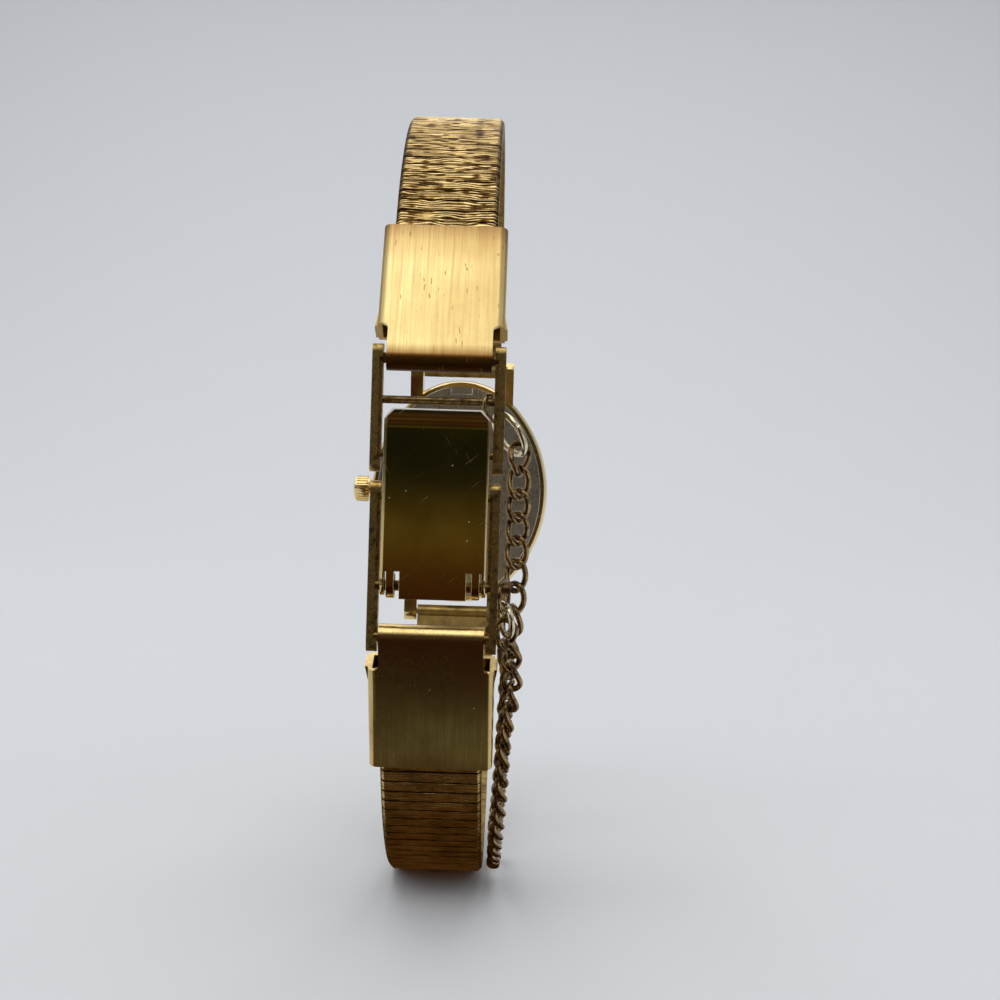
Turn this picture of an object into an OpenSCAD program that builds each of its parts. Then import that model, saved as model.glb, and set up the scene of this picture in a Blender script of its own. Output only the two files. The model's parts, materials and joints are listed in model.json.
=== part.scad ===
// Ladies' oval watch on a link bracelet, closed by a lidded ladder clasp with a safety chain.
// X is the width of the band, Z runs from 6 to 12 o'clock, and the dial faces +Y.
// The origin is the middle of the wrist opening, so the clasp lies at -Y.

/* [Bracelet] */
// Width of the band
band_w = 8; // [7:0.25:9]
// Thickness of a band link
link_t = 1.6; // [1.4:0.1:1.8]
// Distance from one band pin to the next
link_pitch = 1.04; // [0.98:0.01:1.06]
// Gap between two links of a straight band
link_gap = 0.12; // [0.1:0.01:0.14]
// Cut of the long top corners of each link
link_corner = 0.3; // [0.1:0.05:0.4]
// Radius of a band pin
link_pin_r = 0.2; // [0.16:0.01:0.22]
// Height of a band pin above the inside of the band
link_pin_h = 0.45; // [0.42:0.01:0.5]
// Links in each of the six segments of half a band
segment_links = 9; // [8:1:10]
// How much more the band turns at its middle than at its ends
band_bulge = 0.1; // [0:0.05:0.2]
// Length of the link that holds a spring bar
lug_link_l = 1.8; // [1.6:0.1:2.2]
// Running clearance between a pin and its bore
pin_clear = 0.03; // [0.02:0.01:0.05]

/* [Clasp] */
// Height of the end caps' pins above and below the middle
cap_pin_z = 10.45; // [10.2:0.05:11]
// Lean of an end cap from the upright
cap_tilt = 26; // [22:1:30]
// Length of an end cap from its pin to its open end
cap_l = 11.4; // [11:0.1:12.6]
// Width of an end cap
cap_w = 9.6; // [9.4:0.1:10.5]
// Thickness of an end cap over its folded edges
cap_t = 2.55; // [2.5:0.05:2.8]
// Thickness of the clasp's sheet metal
sheet_t = 0.35; // [0.25:0.01:0.4]
// Distance from an end cap's pin to the shoulder where its tongue begins
cap_shoulder = 2.5; // [2.2:0.1:3]
// Outer radius of the rolled ends round the pins
roll_r = 0.95; // [0.85:0.05:1]
// Radius of the clasp's hinge pins
clasp_pin_r = 0.4; // [0.3:0.02:0.44]
// Gap between the two side rails of the upper frame
rail_gap = 8.4; // [8.3:0.05:8.8]
// Gap between the two side rails of the lower frame
low_rail_gap = 8.15; // [8.1:0.05:8.6]
// Width of a side rail
rail_w = 0.8; // [0.6:0.05:1]
// Depth of a side rail
rail_d = 1.2; // [1.1:0.05:1.3]
// Height at which the upper rails end
upper_rail_end = 1.9; // [1.8:0.05:2.2]
// Height at which the lower rails end
lower_rail_end = 1.25; // [1:0.05:1.4]
// Radius of the cross bars
bar_r = 0.3; // [0.25:0.01:0.32]
// Height of the cross bar that carries the safety chain
chain_bar_z = 7.35; // [7.3:0.05:7.6]
// Distance of that bar behind the middle of the rails
chain_bar_in = 0.2; // [0.1:0.05:0.25]
// Height of the cross bar that the lid snaps over
catch_bar_z = 3.3; // [3:0.05:3.6]
// Height of the bar that ties the lower rails
tie_bar_z = 0.1; // [-0.3:0.05:0.3]

/* [Lid] */
// Width of the lid
lid_w = 7.9; // [7.6:0.05:8]
// Height of the lid's upper edge
lid_top = 6.7; // [6.6:0.05:6.9]
// Height of the lid's hinge pin
lid_pin_z = -6.6; // [-6.9:0.05:-6.3]
// Height of the lower edge of the lid's middle tongue
lid_bottom = -7.55; // [-7.7:0.05:-7.4]
// Half width of the lid's middle tongue
tongue_half = 2.5; // [2.2:0.05:2.6]
// Cut at the lid's upper corners
lid_corner = 0.75; // [0.3:0.05:1]
// Width of a rolled knuckle of the lid
knuckle_w = 0.6; // [0.5:0.05:0.6]
// Clearance of the lid's notches round the cross bars
notch_clear = 0.15; // [0.12:0.01:0.2]

/* [Case] */
// Half length of the case from 6 to 12 o'clock
case_a = 11.8; // [11.6:0.1:12]
// Half width of the case
case_b = 9.3; // [9.2:0.1:9.6]
// Height of the case up to the bezel's seat
case_h = 4; // [3.9:0.05:4.2]
// Height of the bezel's top
bezel_top = 5.5; // [5.45:0.05:5.7]
// Wall of the case round the movement ring
case_wall = 1.3; // [1.1:0.05:1.4]
// Thickness of the case back
back_t = 0.45; // [0.35:0.05:0.5]
// Height of the crystal's dome above the bezel
dome_h = 0.7; // [0.6:0.05:1]
// Distance of the spring bars from the middle of the case
spring_bar_y = 12.75; // [12.7:0.05:13.2]
// Height of the spring bars above the case back's outer face
spring_bar_h = 1.1; // [1:0.05:1.2]
// Radius of a spring bar
spring_bar_r = 0.4; // [0.35:0.01:0.45]
// Radius of the tube round a spring bar
bar_tube_r = 0.7; // [0.65:0.01:0.74]
// Width of a lug
lug_w = 1.3; // [1:0.1:1.6]

/* [Movement] */
// Half length of the movement's main plate
plate_a = 9.3; // [9.2:0.05:9.5]
// Half width of the movement's main plate
plate_b = 6.9; // [6.8:0.05:7]
// Module of the barrel's and the centre wheel's teeth
going_module = 0.1; // [0.099:0.001:0.101]
// Module of the third wheel's teeth
third_module = 0.08; // [0.079:0.001:0.081]
// Module of the fourth wheel's teeth
fourth_module = 0.075; // [0.074:0.001:0.076]
// Radius of a wheel's arbor
arbor_r = 0.14; // [0.12:0.01:0.15]
// Thickness of a wheel
wheel_t = 0.12; // [0.1:0.01:0.13]
// Radius of the balance wheel
balance_r = 2.8; // [2.6:0.05:2.9]
// Radius of the crown
crown_r = 1.35; // [1.2:0.05:1.5]
// Length of the crown
crown_l = 1.5; // [1.3:0.1:1.8]
// Gap between the pushed crown and the case
crown_gap = 0.25; // [0.2:0.05:0.4]
// Radius of the winding stem
stem_r = 0.24; // [0.2:0.01:0.25]

/* [Hands] */
// Length of the minute hand
minute_l = 6.6; // [5.5:0.1:7]
// Length of the hour hand
hour_l = 4.3; // [3.5:0.1:5]
// Thickness of a hand
hand_t = 0.12; // [0.1:0.01:0.15]

/* [Safety chain] */
// Diameter of the chain's wire
chain_wire = 0.46; // [0.4:0.02:0.48]
// Width of a chain link over its wire
chain_w = 1.9; // [1.8:0.05:2]
// Distance from one chain link to the next
chain_pitch = 1.8; // [1.75:0.05:1.9]
// Links that hang straight from the upper jump ring
front_top_links = 8; // [7:1:8]
// Links of the inner strand beside the lower cap and band
front_low_links = 17; // [16:1:18]
// Links of the outer strand
back_links = 17; // [15:1:17]
// Radius of the upper jump ring's wire line
upper_ring_r = 1.73; // [1.7:0.01:1.76]
// Radius of the lower jump ring's wire line
lower_ring_r = 1.25; // [1.22:0.01:1.28]
// Radius of the wire line of the ring on the lid's pin
pin_ring_r = 1.21; // [1.18:0.01:1.24]
// Diameter of the jump rings' wire
ring_wire = 0.5; // [0.44:0.02:0.54]

/* [Hidden] */
$fn = 48;
eps = 0.01;

gold = [0.83, 0.66, 0.32];
bark_gold = [0.72, 0.53, 0.22];
dark_gold = [0.45, 0.33, 0.17];
steel = [0.75, 0.75, 0.74];
brass = [0.86, 0.72, 0.4];
ruby = [0.7, 0.1, 0.25];

// The loop of the bracelet. Headings are measured from +Y, and the path runs from the upper end
// cap over the top to the case. The lower half is its mirror image.
half_links = 6 * segment_links;
lug_tilt = 18;
band_turn = 180 - cap_tilt - lug_tilt;
pin_line = roll_r - sheet_t - 0.15 - link_t + link_pin_h;
anchor_s = cap_l - 1.4;
cap_heading = 90 - cap_tilt;
lug_heading = lug_tilt - 90;

function total(v) = v * [for (x = v) 1];
function at_cap(s, r, pin = [0, cap_pin_z]) =
    pin + s * [cos(cap_heading), sin(cap_heading)] + r * [-sin(cap_heading), cos(cap_heading)];
function share(i) = i / (half_links - 1);
function heading(i, skew) = cap_heading
    - band_turn * (share(i) - band_bulge * sin(360 * share(i)) / (2 * PI)) + skew * sin(180 * share(i));
function rise(skew) = link_pitch * total([for (i = [0 : half_links - 1]) sin(heading(i, skew))]);
wanted_rise = spring_bar_y - lug_link_l * sin(lug_heading) - at_cap(anchor_s, pin_line)[1];
// The skew is halved in on until the path ends at the height of the spring bar
function solve_skew(low, high, steps) = let (mid = (low + high) / 2)
    steps == 0 ? mid : rise(mid) > wanted_rise
        ? solve_skew(low, mid, steps - 1) : solve_skew(mid, high, steps - 1);
skew = solve_skew(-60, 60, 40);
function along(h) = [cos(h), sin(h)];
reach = total([for (i = [0 : half_links - 1]) link_pitch * cos(heading(i, skew))])
    + at_cap(anchor_s, pin_line)[0] + lug_link_l * cos(lug_heading);
// The opening's middle is half way between the case back and the clasp's rails
opening_d = reach - spring_bar_h - rail_d / 2;
head_y = opening_d / 2;
clasp_y = -opening_d / 2 - rail_d / 2;
upper_pin = [clasp_y, cap_pin_z];
pivots = [for (i = 0, p = at_cap(anchor_s, pin_line, upper_pin); i <= half_links;
    p = p + link_pitch * along(heading(min(i, half_links - 1), skew)), i = i + 1) p];

// Derived sizes of the clasp
rail_x = low_rail_gap / 2 + rail_w / 2;
lid_out = roll_r;
wall_t = 0.3;
knuckle_x = (lid_w / 2 - wall_t - 0.15) - knuckle_w / 2;

// The oval is four arcs that meet smoothly. These give its small end radius, the small arcs' centre,
// the large arcs' centre and radius, and the direction of the joints.
end_share = 0.8;
function end_r(b) = b * end_share;
function end_c(a, b) = a - end_r(b);
function side_c(a, b) = (pow(end_c(a, b), 2) - pow(b - end_r(b), 2)) / (2 * (b - end_r(b)));
function side_r(a, b) = b + side_c(a, b);
function joint_angle(a, b) = atan2(end_c(a, b), side_c(a, b));

// Outline of the case oval, grown or shrunk by an offset that keeps its four centres
module oval(grow = 0, a = case_a, b = case_b) {
    big = side_r(a, b) + grow;
    joint_y = big * sin(joint_angle(a, b));
    intersection() {
        translate([-side_c(a, b), 0]) circle(big);
        translate([side_c(a, b), 0]) circle(big);
        square([4 * b, 2 * joint_y], center = true);
    }
    for (s = [-1, 1]) translate([0, s * end_c(a, b)]) circle(end_r(b) + grow);
}

// A profile carried round the case oval: x is its distance outside the outline, y its height
module oval_ring(a = case_a, b = case_b) {
    turn = joint_angle(a, b);
    for (s = [0, 180]) rotate([0, 0, s]) {
        translate([-side_c(a, b), 0, 0]) rotate([0, 0, -turn])
            rotate_extrude(angle = 2 * turn) translate([side_r(a, b), 0]) children();
        translate([0, end_c(a, b), 0]) rotate([0, 0, turn])
            rotate_extrude(angle = 180 - 2 * turn) translate([end_r(b), 0]) children();
    }
}

module ring_2d(outer, inner) {
    difference() {
        circle(outer);
        circle(inner);
    }
}

module tube(outer, inner, h) {
    linear_extrude(h) ring_2d(outer, inner);
}

// A cylinder along X, centred on the origin
module bar(r, l) {
    rotate([0, 90, 0]) cylinder(r = r, h = l, center = true);
}

// Places that the modules below use
module in_head() {
    translate([0, head_y, 0]) rotate([90, 0, 180]) children();
}
module in_upper_cap() {
    translate([0, clasp_y, cap_pin_z]) rotate([cap_heading, 0, 0]) children();
}
module at_height(z) {
    translate([0, clasp_y, z]) rotate([90, 0, 0]) children();
}
module lower() {
    mirror([0, 0, 1]) children();
}

// Case. In its profiles x is the distance outside the oval and y the height above the case back.

seat_h = 3.55;
lug_in = band_w / 2 + 0.1;
bar_hole_l = 0.8;
rim_in = 1.95;
rim_out = 1.2;
rim_top = 4.72;
lip_z = 5.12;

module lug() {
    rotate([90, 0, 90]) linear_extrude(lug_w) union() {
        polygon([[case_a - 2.6, 0.7], [spring_bar_y - 1, spring_bar_h - 0.93],
            [spring_bar_y, spring_bar_h - 0.95], [spring_bar_y + 0.4, spring_bar_h + 0.86],
            [spring_bar_y - 0.9, spring_bar_h + 1.5], [case_a - 2.6, case_h - 0.3]]);
        translate([spring_bar_y, spring_bar_h]) circle(0.95);
    }
}

// Points of an arc round a centre, from one angle to the other
function arc(c, r, from, to, n = 8) =
    [for (i = [0 : n]) c + r * [cos(from + (to - from) * i / n), sin(from + (to - from) * i / n)]];

wall_mid = (0.6 + case_h) / 2;
wall_round = 4.2;
wall_half = asin((case_h - wall_mid) / wall_round);

// The wall bulges outwards, and its inner rim carries the crystal and stops the dial
module case_middle() color(gold) in_head() {
    difference() {
        union() {
            oval_ring() polygon(concat([[-case_wall, 0.6]],
                arc([-wall_round, wall_mid], wall_round, -wall_half, wall_half),
                [[-rim_out, case_h], [-rim_out, rim_top], [-rim_in, rim_top], [-rim_in, 3.9],
                    [-case_wall, 3.9]]));
            for (y = [0, 180]) rotate([0, 0, y]) for (x = [lug_in, -lug_in - lug_w])
                translate([x, 0, 0]) lug();
        }
        for (y = [-1, 1]) translate([0, y * spring_bar_y, spring_bar_h])
            bar(spring_bar_r * 0.7 + pin_clear, 2 * (lug_in + bar_hole_l));
        translate([case_b, 0, stem_z]) bar(tube_r, 4);
    }
    translate([case_b - case_wall, 0, stem_z]) rotate([0, 90, 0])
        tube(tube_r, stem_r + 0.06, case_wall + crown_gap);
}

bezel_round = 0.9;
bezel_foot = 0.05 - rim_out;

// A plain core inside the section joins the four swept arcs into one ring
module bezel() color(gold) in_head() {
    oval_ring() polygon(concat([[bezel_foot, case_h + 0.02]],
        [[bezel_round - 1.1, case_h + 0.02]],
        arc([-1.1, bezel_top - bezel_round], bezel_round, 0, 90),
        [[0.15 - rim_in, bezel_top], [0.05 - rim_in, bezel_top - 0.12], [0.05 - rim_in, lip_z],
            [bezel_foot, lip_z]]));
    translate([0, 0, case_h + 0.1]) linear_extrude(0.4) difference() {
        oval(-0.35);
        oval(-1.05);
    }
}

module crystal() color([0.85, 0.9, 0.92, 0.4]) in_head() {
    dome_r = 55;
    translate([0, 0, rim_top + 0.02]) linear_extrude(0.33) oval(-rim_out - 0.03);
    intersection() {
        translate([0, 0, rim_top + 0.3]) linear_extrude(3) oval(-rim_in - 0.02);
        translate([0, 0, bezel_top + dome_h - dome_r]) sphere(dome_r, $fn = 720);
    }
}

module case_back() color(steel) in_head() difference() {
    union() {
        linear_extrude(back_t) oval(-0.75);
        linear_extrude(0.6) oval(-case_wall + 0.1);
        linear_extrude(0.95) oval(-case_wall - 0.03);
    }
    translate([0, 0, back_t]) linear_extrude(1) oval(-case_wall - 0.45);
    translate([0, case_a - 1.1, -0.2]) cube([2.2, 0.9, 0.8], center = true);
}

module movement_ring() color(brass) in_head() difference() {
    translate([0, 0, 1]) linear_extrude(seat_h - 1) oval(-case_wall - 0.05);
    linear_extrude(5) oval(0.05, plate_a, plate_b);
    translate([case_b - 1, 0, stem_z]) bar(stem_r + 0.1, 6);
}

// Movement. Heights are measured from the case back's outer face, and x runs to 3 o'clock.

plate_z = 2.6;
plate_t = 0.5;
stem_z = plate_z + 0.27;
tube_r = 0.55;
tooth_share = 0.32;
centre_teeth = 64;
third_teeth = 60;
fourth_teeth = 60;
barrel_teeth = 72;
centre_pinion = 12;
third_pinion = 8;
fourth_pinion = 8;
escape_pinion = 6;
escape_teeth = 15;
cannon_teeth = 12;
minute_teeth = 36;
minute_pinion = 10;
hour_teeth = 40;
motion_module = 0.09;
hour_module = motion_module * (cannon_teeth + minute_teeth) / (minute_pinion + hour_teeth);

function mesh_distance(m, a, b) = m * (a + b) / 2;
function polar(r, angle) = [r * cos(angle), r * sin(angle)];
// The turn that puts a gap of the second gear where a tooth of the first one points
function mesh_turn(angle, first_turn, first, second) =
    angle + 180 - 180 / second + (angle - first_turn) * first / second;

barrel_angle = 120;
third_angle = 260;
fourth_angle = -20;
escape_angle = 50;
pallet_angle = 62;
balance_angle = 112;
minute_angle = 235;
barrel_at = polar(mesh_distance(going_module, barrel_teeth, centre_pinion), barrel_angle);
third_at = polar(mesh_distance(going_module, centre_teeth, third_pinion), third_angle);
fourth_at = third_at + polar(mesh_distance(third_module, third_teeth, fourth_pinion), fourth_angle);
escape_at = fourth_at
    + polar(mesh_distance(fourth_module, fourth_teeth, escape_pinion), escape_angle);
escape_r = 1.5;
pallet_at = escape_at + polar(escape_r + 0.55, pallet_angle);
balance_at = pallet_at + polar(2.4, balance_angle);
minute_at = polar(mesh_distance(motion_module, cannon_teeth, minute_teeth), minute_angle);

// Outline of a gear: every tooth is a trapezium whose foot and tip are shares of its pitch
module gear_2d(teeth, m) {
    step = 360 / teeth;
    root = m * (teeth / 2 - 1.25);
    tip = m * (teeth / 2 + 0.9);
    polygon([for (i = [0 : teeth - 1], c = [
        [root, -tooth_share * 0.9], [tip, -tooth_share * 0.35],
        [tip, tooth_share * 0.35], [root, tooth_share * 0.9]]) polar(c[0], (i + c[1]) * step)]);
}

module gear(teeth, m, z, turn = 0, t = wheel_t) {
    translate([0, 0, z]) rotate([0, 0, turn]) linear_extrude(t) gear_2d(teeth, m);
}

// A wheel with a rim, a hub and spokes
module wheel(teeth, m, z, turn = 0, spokes = 4) {
    root = m * (teeth / 2 - 1.25);
    translate([0, 0, z]) rotate([0, 0, turn]) linear_extrude(wheel_t) {
        difference() {
            gear_2d(teeth, m);
            circle(root - 0.32);
        }
        for (i = [0 : spokes - 1]) rotate([0, 0, (i + 0.5) * 360 / spokes])
            translate([0, -0.13]) square([root - 0.2, 0.26]);
        circle(0.5);
    }
}

module arbor(low, high, r = arbor_r) {
    translate([0, 0, low]) cylinder(r = r, h = high - low);
}

module at(place) {
    translate([place[0], place[1], 0]) children();
}

bridge_z = 1.1;
bridge_t = 0.25;
jewel_r = arbor_r + 0.3;

module main_plate() color(brass) in_head() difference() {
    translate([0, 0, plate_z]) linear_extrude(plate_t) oval(0, plate_a, plate_b);
    for (p = [[0, 0], barrel_at, third_at, fourth_at, escape_at, pallet_at, balance_at, minute_at])
        at(p) translate([0, 0, plate_z - eps]) cylinder(r = arbor_r + pin_clear, h = plate_t + 1);
    translate([plate_b, 0, plate_z + plate_t / 2]) cube([8, 2 * stem_r + 0.2, plate_t + 1], center = true);
    translate([5.9, 0.45, plate_z - eps]) cube([1.9, 1.5, 0.3], center = true);
}

module train_bridge() color(brass) in_head() difference() {
    union() {
        translate([0, 0, bridge_z]) linear_extrude(bridge_t) oval(-0.5, plate_a, plate_b);
        for (p = bridge_feet) at(p) translate([0, 0, bridge_z]) cylinder(r = 0.55, h = plate_z - bridge_z);
    }
    at(balance_at) translate([0, 0, bridge_z - eps]) cylinder(r = balance_r + 0.35, h = 1);
    at(cock_foot) translate([0, 0, bridge_z - eps]) cylinder(r = 0.8, h = 1);
    translate([balance_at[0], balance_at[1] - 3, bridge_z - eps]) cube([6, 6 + balance_at[1], 1]);
    for (p = [[0, 0], barrel_at, third_at, fourth_at, escape_at])
        at(p) translate([0, 0, bridge_z - eps]) cylinder(r = arbor_r + pin_clear, h = 1);
    for (p = bridge_feet) at(p) translate([0, 0, bridge_z - eps])
        cylinder(r = screw_r, h = 0.5);
}

bridge_feet = [[-3.3, -5.6], [-5.2, -1.9], [2, 7.2]];
cock_foot = [3.7, 5.4];
screw_r = 0.3;
cock_z = 0.62;
cock_t = 0.25;

module balance_cock() color(brass) in_head() difference() {
    union() {
        translate([0, 0, cock_z]) linear_extrude(cock_t) {
            translate(balance_at) circle(0.9);
            translate(cock_foot) circle(0.75);
            polygon([balance_at + [-0.7, 0.2], balance_at + [0.7, 0.2],
                cock_foot + [0.65, 0], cock_foot + [-0.65, 0]]);
        }
        at(cock_foot) translate([0, 0, cock_z + cock_t - eps])
            cylinder(r = 0.65, h = plate_z - cock_z - cock_t + eps);
    }
    at(balance_at) translate([0, 0, cock_z - eps]) cylinder(r = 0.1 + pin_clear, h = 1);
    at(cock_foot) translate([0, 0, cock_z - eps]) cylinder(r = screw_r, h = 0.5);
}

module screw(place, top) {
    at(place) difference() {
        union() {
            translate([0, 0, top - 0.15]) cylinder(r = screw_r + 0.12, h = 0.15);
            translate([0, 0, top - eps]) cylinder(r = screw_r, h = 0.45);
        }
        translate([0, 0, top - 0.15]) cube([1, 0.12, 0.14], center = true);
    }
}

module movement_screws() color(steel) in_head() {
    for (p = bridge_feet) screw(p, bridge_z);
    screw(cock_foot, cock_z);
}

module barrel() color(brass) in_head() at(barrel_at) {
    difference() {
        union() {
            gear(barrel_teeth, going_module, 2.2, barrel_turn, 0.2);
            translate([0, 0, 1.75]) cylinder(r = 3.3, h = 0.5);
        }
        translate([0, 0, 1.65]) tube(1.3, 0.7, 0.2);
    }
    arbor(bridge_z + 0.05, 2.95);
}

centre_turn = 0;
barrel_turn = mesh_turn(barrel_angle, centre_turn, centre_pinion, barrel_teeth);
third_turn = mesh_turn(third_angle, centre_turn, centre_teeth, third_pinion);
fourth_turn = mesh_turn(fourth_angle, 0, third_teeth, fourth_pinion);
escape_turn = mesh_turn(escape_angle, 0, fourth_teeth, escape_pinion);
minute_turn = mesh_turn(minute_angle, centre_turn, cannon_teeth, minute_teeth);
hour_turn = mesh_turn(minute_angle + 180, 0, minute_pinion, hour_teeth);
centre_z = 1.5;
third_z = 2.15;
fourth_z = 1.78;
cannon_z = 3.16;
hour_wheel_z = 3.4;
dial_z = 3.62;
dial_t = 0.2;
pipe_r = 0.42;
hour_hand_z = 4.05;
minute_hand_z = 4.35;

module centre_wheel() color(brass) in_head() {
    wheel(centre_teeth, going_module, centre_z, centre_turn);
    arbor(bridge_z + 0.05, minute_hand_z + hand_t + 0.05);
    gear(centre_pinion, going_module, 2.16, centre_turn, 0.28);
    gear(cannon_teeth, motion_module, cannon_z, centre_turn, 0.2);
    arbor(cannon_z, minute_hand_z, 0.24);
}

module third_wheel() color(brass) in_head() at(third_at) {
    wheel(third_teeth, third_module, third_z);
    gear(third_pinion, going_module, 1.44, third_turn, 0.24);
    arbor(bridge_z + 0.05, plate_z + plate_t - 0.05);
}

module fourth_wheel() color(brass) in_head() at(fourth_at) {
    wheel(fourth_teeth, fourth_module, fourth_z);
    gear(fourth_pinion, third_module, 2.08, fourth_turn, 0.24);
    arbor(bridge_z + 0.05, plate_z + plate_t - 0.05);
}

module escape_wheel() color(steel) in_head() at(escape_at) {
    step = 360 / escape_teeth;
    translate([0, 0, 2.2]) linear_extrude(wheel_t) {
        difference() {
            polygon([for (i = [0 : escape_teeth - 1], c = [
                [escape_r - 0.45, 0], [escape_r, 0.45], [escape_r, 0.6], [escape_r - 0.45, 0.55]])
                polar(c[0], (i + c[1]) * step)]);
            circle(0.75);
        }
        for (i = [0 : 3]) rotate([0, 0, 90 * i]) translate([0, -0.1]) square([0.9, 0.2]);
        circle(0.32);
    }
    gear(escape_pinion, fourth_module, 1.72, escape_turn, 0.24);
    arbor(bridge_z + 0.05, plate_z + plate_t - 0.05, 0.1);
}

module pallet_fork() color(steel) in_head() at(pallet_at) {
    rotate([0, 0, pallet_angle]) translate([0, 0, 2.2]) linear_extrude(wheel_t) {
        circle(0.3);
        for (s = [-1, 1]) {
            translate([-0.14, s * 0.62]) square([0.22, 1.24], center = true);
            translate([-0.2, s * 1.2]) square([0.34, 0.2], center = true);
        }
    }
    rotate([0, 0, balance_angle]) translate([0, 0, 2.2]) linear_extrude(wheel_t) {
        translate([0, -0.12]) square([1.35, 0.24]);
        for (s = [-1, 1]) translate([1.45, s * 0.2]) square([0.5, 0.14], center = true);
        translate([1.25, 0]) square([0.15, 0.54], center = true);
    }
    arbor(1.9, plate_z + plate_t - 0.05, 0.1);
}

balance_z = 1.16;
module balance_wheel() color(brass) in_head() at(balance_at) {
    translate([0, 0, balance_z]) {
        tube(balance_r, balance_r - 0.35, 0.28);
        linear_extrude(0.14) {
            square([2 * balance_r - 0.4, 0.4], center = true);
            circle(0.45);
        }
        for (i = [0 : 11]) rotate([0, 0, 15 + 30 * i]) translate([balance_r - eps, 0, 0.14])
            rotate([0, 90, 0]) cylinder(r = 0.1, h = 0.12);
    }
    arbor(cock_z + 0.05, plate_z + plate_t - 0.05, 0.1);
}

// A flat spiral from the collet on the balance staff to the stud under the cock
coil_steps = 120;
function coil(i, side) = polar(0.3 + 1.5 * i / coil_steps + side * 0.03, 18 * i);
module hairspring() color("steelblue") in_head() at(balance_at) {
    translate([0, 0, 0.95]) linear_extrude(0.12) {
        polygon(concat([for (i = [0 : coil_steps]) coil(i, 1)],
            [for (i = [coil_steps : -1 : 0]) coil(i, -1)]));
        ring_2d(0.34, 0.1);
    }
}

module minute_wheel() color(brass) in_head() at(minute_at) {
    wheel(minute_teeth, motion_module, cannon_z + 0.02, minute_turn);
    gear(minute_pinion, hour_module, cannon_z + 0.02, 0, 0.38);
    arbor(plate_z + 0.1, cannon_z + 0.1);
}

module hour_wheel() color(brass) in_head() difference() {
    union() {
        gear(hour_teeth, hour_module, hour_wheel_z, hour_turn, 0.12);
        arbor(hour_wheel_z, hour_hand_z + hand_t, pipe_r);
    }
    translate([0, 0, 3]) cylinder(r = 0.24 + pin_clear, h = 3);
}

module hour_hand() color(dark_gold) in_head() difference() {
    translate([0, 0, hour_hand_z]) linear_extrude(hand_t) rotate([0, 0, 90 - 300]) {
        circle(0.75);
        polygon([[0, -0.35], [hour_l * 0.7, -0.45], [hour_l, 0], [hour_l * 0.7, 0.45], [0, 0.35],
            [-1, 0.15], [-1, -0.15]]);
    }
    translate([0, 0, 3]) cylinder(r = pipe_r, h = 3);
}

module minute_hand() color(dark_gold) in_head() difference() {
    translate([0, 0, minute_hand_z]) linear_extrude(hand_t) rotate([0, 0, 90 - 48]) {
        circle(0.6);
        polygon([[0, -0.26], [minute_l * 0.75, -0.34], [minute_l, 0], [minute_l * 0.75, 0.34], [0, 0.26],
            [-1.4, 0.12], [-1.4, -0.12]]);
    }
    translate([0, 0, 3]) cylinder(r = arbor_r, h = 3);
}

module dial() color([0.9, 0.84, 0.68]) in_head() difference() {
    translate([0, 0, dial_z]) linear_extrude(dial_t) oval(-case_wall - 0.15);
    translate([0, 0, dial_z - eps]) cylinder(r = pipe_r + 0.1, h = 1);
}

// Applied batons follow the oval: each one starts where its ray meets an inner oval
module hour_markers() color(gold) in_head() {
    a = case_a - case_wall - 2.1;
    b = case_b - case_wall - 1.75;
    for (i = [0 : 11]) {
        angle = 30 * i;
        out = 1 / sqrt(pow(cos(angle) / b, 2) + pow(sin(angle) / a, 2));
        rotate([0, 0, angle]) translate([out - 0.75, 0, dial_z + dial_t])
            linear_extrude(0.12) square([i % 3 == 0 ? 1.5 : 1.1, i % 3 == 0 ? 0.5 : 0.3], center = true);
    }
}

groove_x = 5.9;
stem_in = 4.4;
crown_x = case_b + crown_gap + 0.05;

module winding_stem() color(steel) in_head() translate([0, 0, stem_z]) difference() {
    translate([(stem_in + crown_x + 0.9) / 2, 0, 0]) bar(stem_r, crown_x + 0.9 - stem_in);
    translate([groove_x, 0, 0]) difference() {
        bar(1, 0.4);
        bar(0.13, 0.5);
    }
}

module crown() color(gold) in_head() translate([crown_x, 0, stem_z]) rotate([0, 90, 0]) {
    flutes = 24;
    difference() {
        union() {
            cylinder(r = crown_r - 0.12, h = crown_l);
            translate([0, 0, crown_l]) intersection() {
                translate([0, 0, -3]) sphere(3.25);
                cylinder(r = crown_r - 0.2, h = 1);
            }
            for (i = [0 : flutes - 1]) rotate([0, 0, 360 * i / flutes])
                translate([crown_r - 0.2, -0.1, 0.15]) cube([0.2, 0.2, crown_l - 0.3]);
        }
        translate([0, 0, -eps]) cylinder(r = stem_r, h = 0.9 + eps);
        translate([0, 0, -eps]) tube(tube_r + 0.25, stem_r + 0.15, 0.9);
    }
}

module setting_lever() color(steel) in_head() {
    translate([groove_x - 0.12, 0.5, plate_z - 0.2]) linear_extrude(0.17) {
        square([0.5, 2.2], center = true);
        for (s = [-1, 1]) translate([0, s * 1.1]) circle(0.28);
    }
    translate([groove_x - 0.1, 0, plate_z - 0.2]) for (s = [-1, 1])
        translate([0, s * 0.3, 0]) cube([0.2, 0.22, 0.3], center = true);
}

// Spring bars with narrow tips that reach into the lugs
module spring_bars() color(steel) in_head() for (y = [-1, 1])
    translate([0, y * spring_bar_y, spring_bar_h]) {
        bar(spring_bar_r, band_w - 0.4);
        bar(spring_bar_r * 0.7, 2 * (lug_in + bar_hole_l) - 0.1);
    }

// Band. In a link's own place y runs along the band and z points outwards from the pin line.

link_l = link_pitch - link_gap;
knuckle_r = link_pin_h - 0.05;
middle_half = 1.9;
knuckle_clear = 0.06;

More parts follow.
